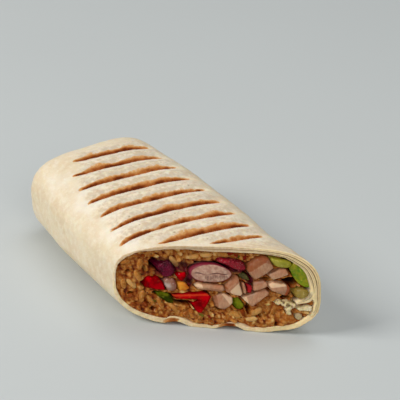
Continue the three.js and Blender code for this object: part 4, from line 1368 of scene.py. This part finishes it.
# How the peppers are cut: the steps of their mesh, how far their edges are rounded, and how uneven they are.
PEPPER_CUT = (0.26, 4, 0.15)


def make_peppers():
    red = pepper_material("red_pepper", (0.16, 0.0, 0.001), (0.54, 0.0, 0.004), (0.76, 0.07, 0.02))
    yellow = pepper_material("yellow_pepper", (0.56, 0.11, 0.012), (0.74, 0.28, 0.03), (0.82, 0.45, 0.12))
    green = pepper_material("green_pepper", (0.03, 0.04, 0.001), (0.16, 0.17, 0.004), (0.34, 0.36, 0.03))
    lime = pepper_material("green_pepper_light", (0.09, 0.12, 0.002), (0.26, 0.27, 0.012), (0.42, 0.42, 0.06))
    for number in range(1, 4):
        make_chunk(f"red_pepper_{number}", red, *PEPPER_CUT)
    make_chunk("yellow_pepper", yellow, *PEPPER_CUT)
    make_chunk("green_pepper_1", green, *PEPPER_CUT)
    make_chunk("green_pepper_2", lime, *PEPPER_CUT)


def make_red_cabbage_and_onion():
    purple = leaf_material(
        "red_cabbage", (0.05, 0.0, 0.006), (0.19, 0.002, 0.028), (0.34, 0.05, 0.12), 0.1, 0.25,
    )
    pink = leaf_material(
        "red_cabbage_pink", (0.13, 0.001, 0.006), (0.36, 0.008, 0.022), (0.62, 0.20, 0.17), 0.15, 0.6,
    )
    make_chunk("red_cabbage_1", purple, 0.28, 9, 0.3)
    make_chunk("red_cabbage_2", pink, 0.28, 4, 0.3)
    # the onion's paler middle is partly a painted highlight
    onion = leaf_material("onion", (0.30, 0.09, 0.06), (0.34, 0.18, 0.12), (0.60, 0.48, 0.40), 0.4, heart=0.8)
    green = leaf_material("onion_green", (0.26, 0.17, 0.024), (0.37, 0.26, 0.052), (0.52, 0.41, 0.15))
    make_chunk("onion_1", onion, 0.28, 4, 0.2, reach=2.6)
    make_chunk("onion_2", green, 0.28, 4, 0.25)


def make_greens():
    leaf = leaf_material("lettuce", (0.12, 0.23, 0.002), (0.38, 0.32, 0.006), (0.56, 0.46, 0.07), patch=3.2)
    pale = leaf_material("lettuce_pale", (0.32, 0.29, 0.02), (0.46, 0.40, 0.06), (0.62, 0.52, 0.13))
    make_chunk("lettuce_1", pale, 0.3, 3, 0.3)
    make_leaf("lettuce_2", leaf, "lettuce")
    white = leaf_material("white_cabbage", (0.66, 0.52, 0.28), (0.90, 0.80, 0.56), (0.98, 0.93, 0.76))
    curly = leaf_material(
        "white_cabbage_curly", (0.60, 0.44, 0.20), (0.84, 0.70, 0.42), (0.95, 0.84, 0.50), holes=0.75,
    )
    stalk = leaf_material(
        "white_cabbage_stalk", (0.62, 0.46, 0.24), (0.46, 0.34, 0.18), (0.60, 0.50, 0.32), wet=0.3,
    )
    make_chunk("white_cabbage_1", curly, 0.24, 3, 0.35, 1.2)
    make_chunk("white_cabbage_2", white, 0.24, 3, 0.25, 1.4)
    make_chunk("white_cabbage_3", stalk, 0.24, 3, 0.15, 1.4)


def make_small_things():
    herb = leaf_material("herb", (0.05, 0.04, 0.008), (0.14, 0.11, 0.02), (0.2, 0.2, 0.05))
    tomato = pepper_material("tomato", (0.20, 0.004, 0.008), (0.40, 0.016, 0.02), (0.6, 0.12, 0.06))
    make_chunk("herb", herb, 0.2, 3, 0.2, 1.2)
    make_chunk("tomato", tomato, 0.2, 3, 0.15)
    red = pepper_material("red_scraps", (0.20, 0.012, 0.006), (0.44, 0.05, 0.015), (0.60, 0.18, 0.05))
    green = pepper_material("green_scraps", (0.08, 0.07, 0.005), (0.22, 0.18, 0.02), (0.34, 0.30, 0.05))
    make_scraps("pepper_scraps", "red", red, "red_pepper")
    make_scraps("herb_scraps", "green", green, "green_pepper")


TORTILLA = tortilla_material()
RICE = rice_material()
MEAT = meat_material()

make_camera()
make_studio()
make_tortilla()
make_inner_lip()
make_rice_core()
make_grains()
make_bean()
for number in range(1, 10):
    make_chunk(f"chicken_{number}", MEAT)
make_peppers()
make_red_cabbage_and_onion()
make_greens()
make_small_things()
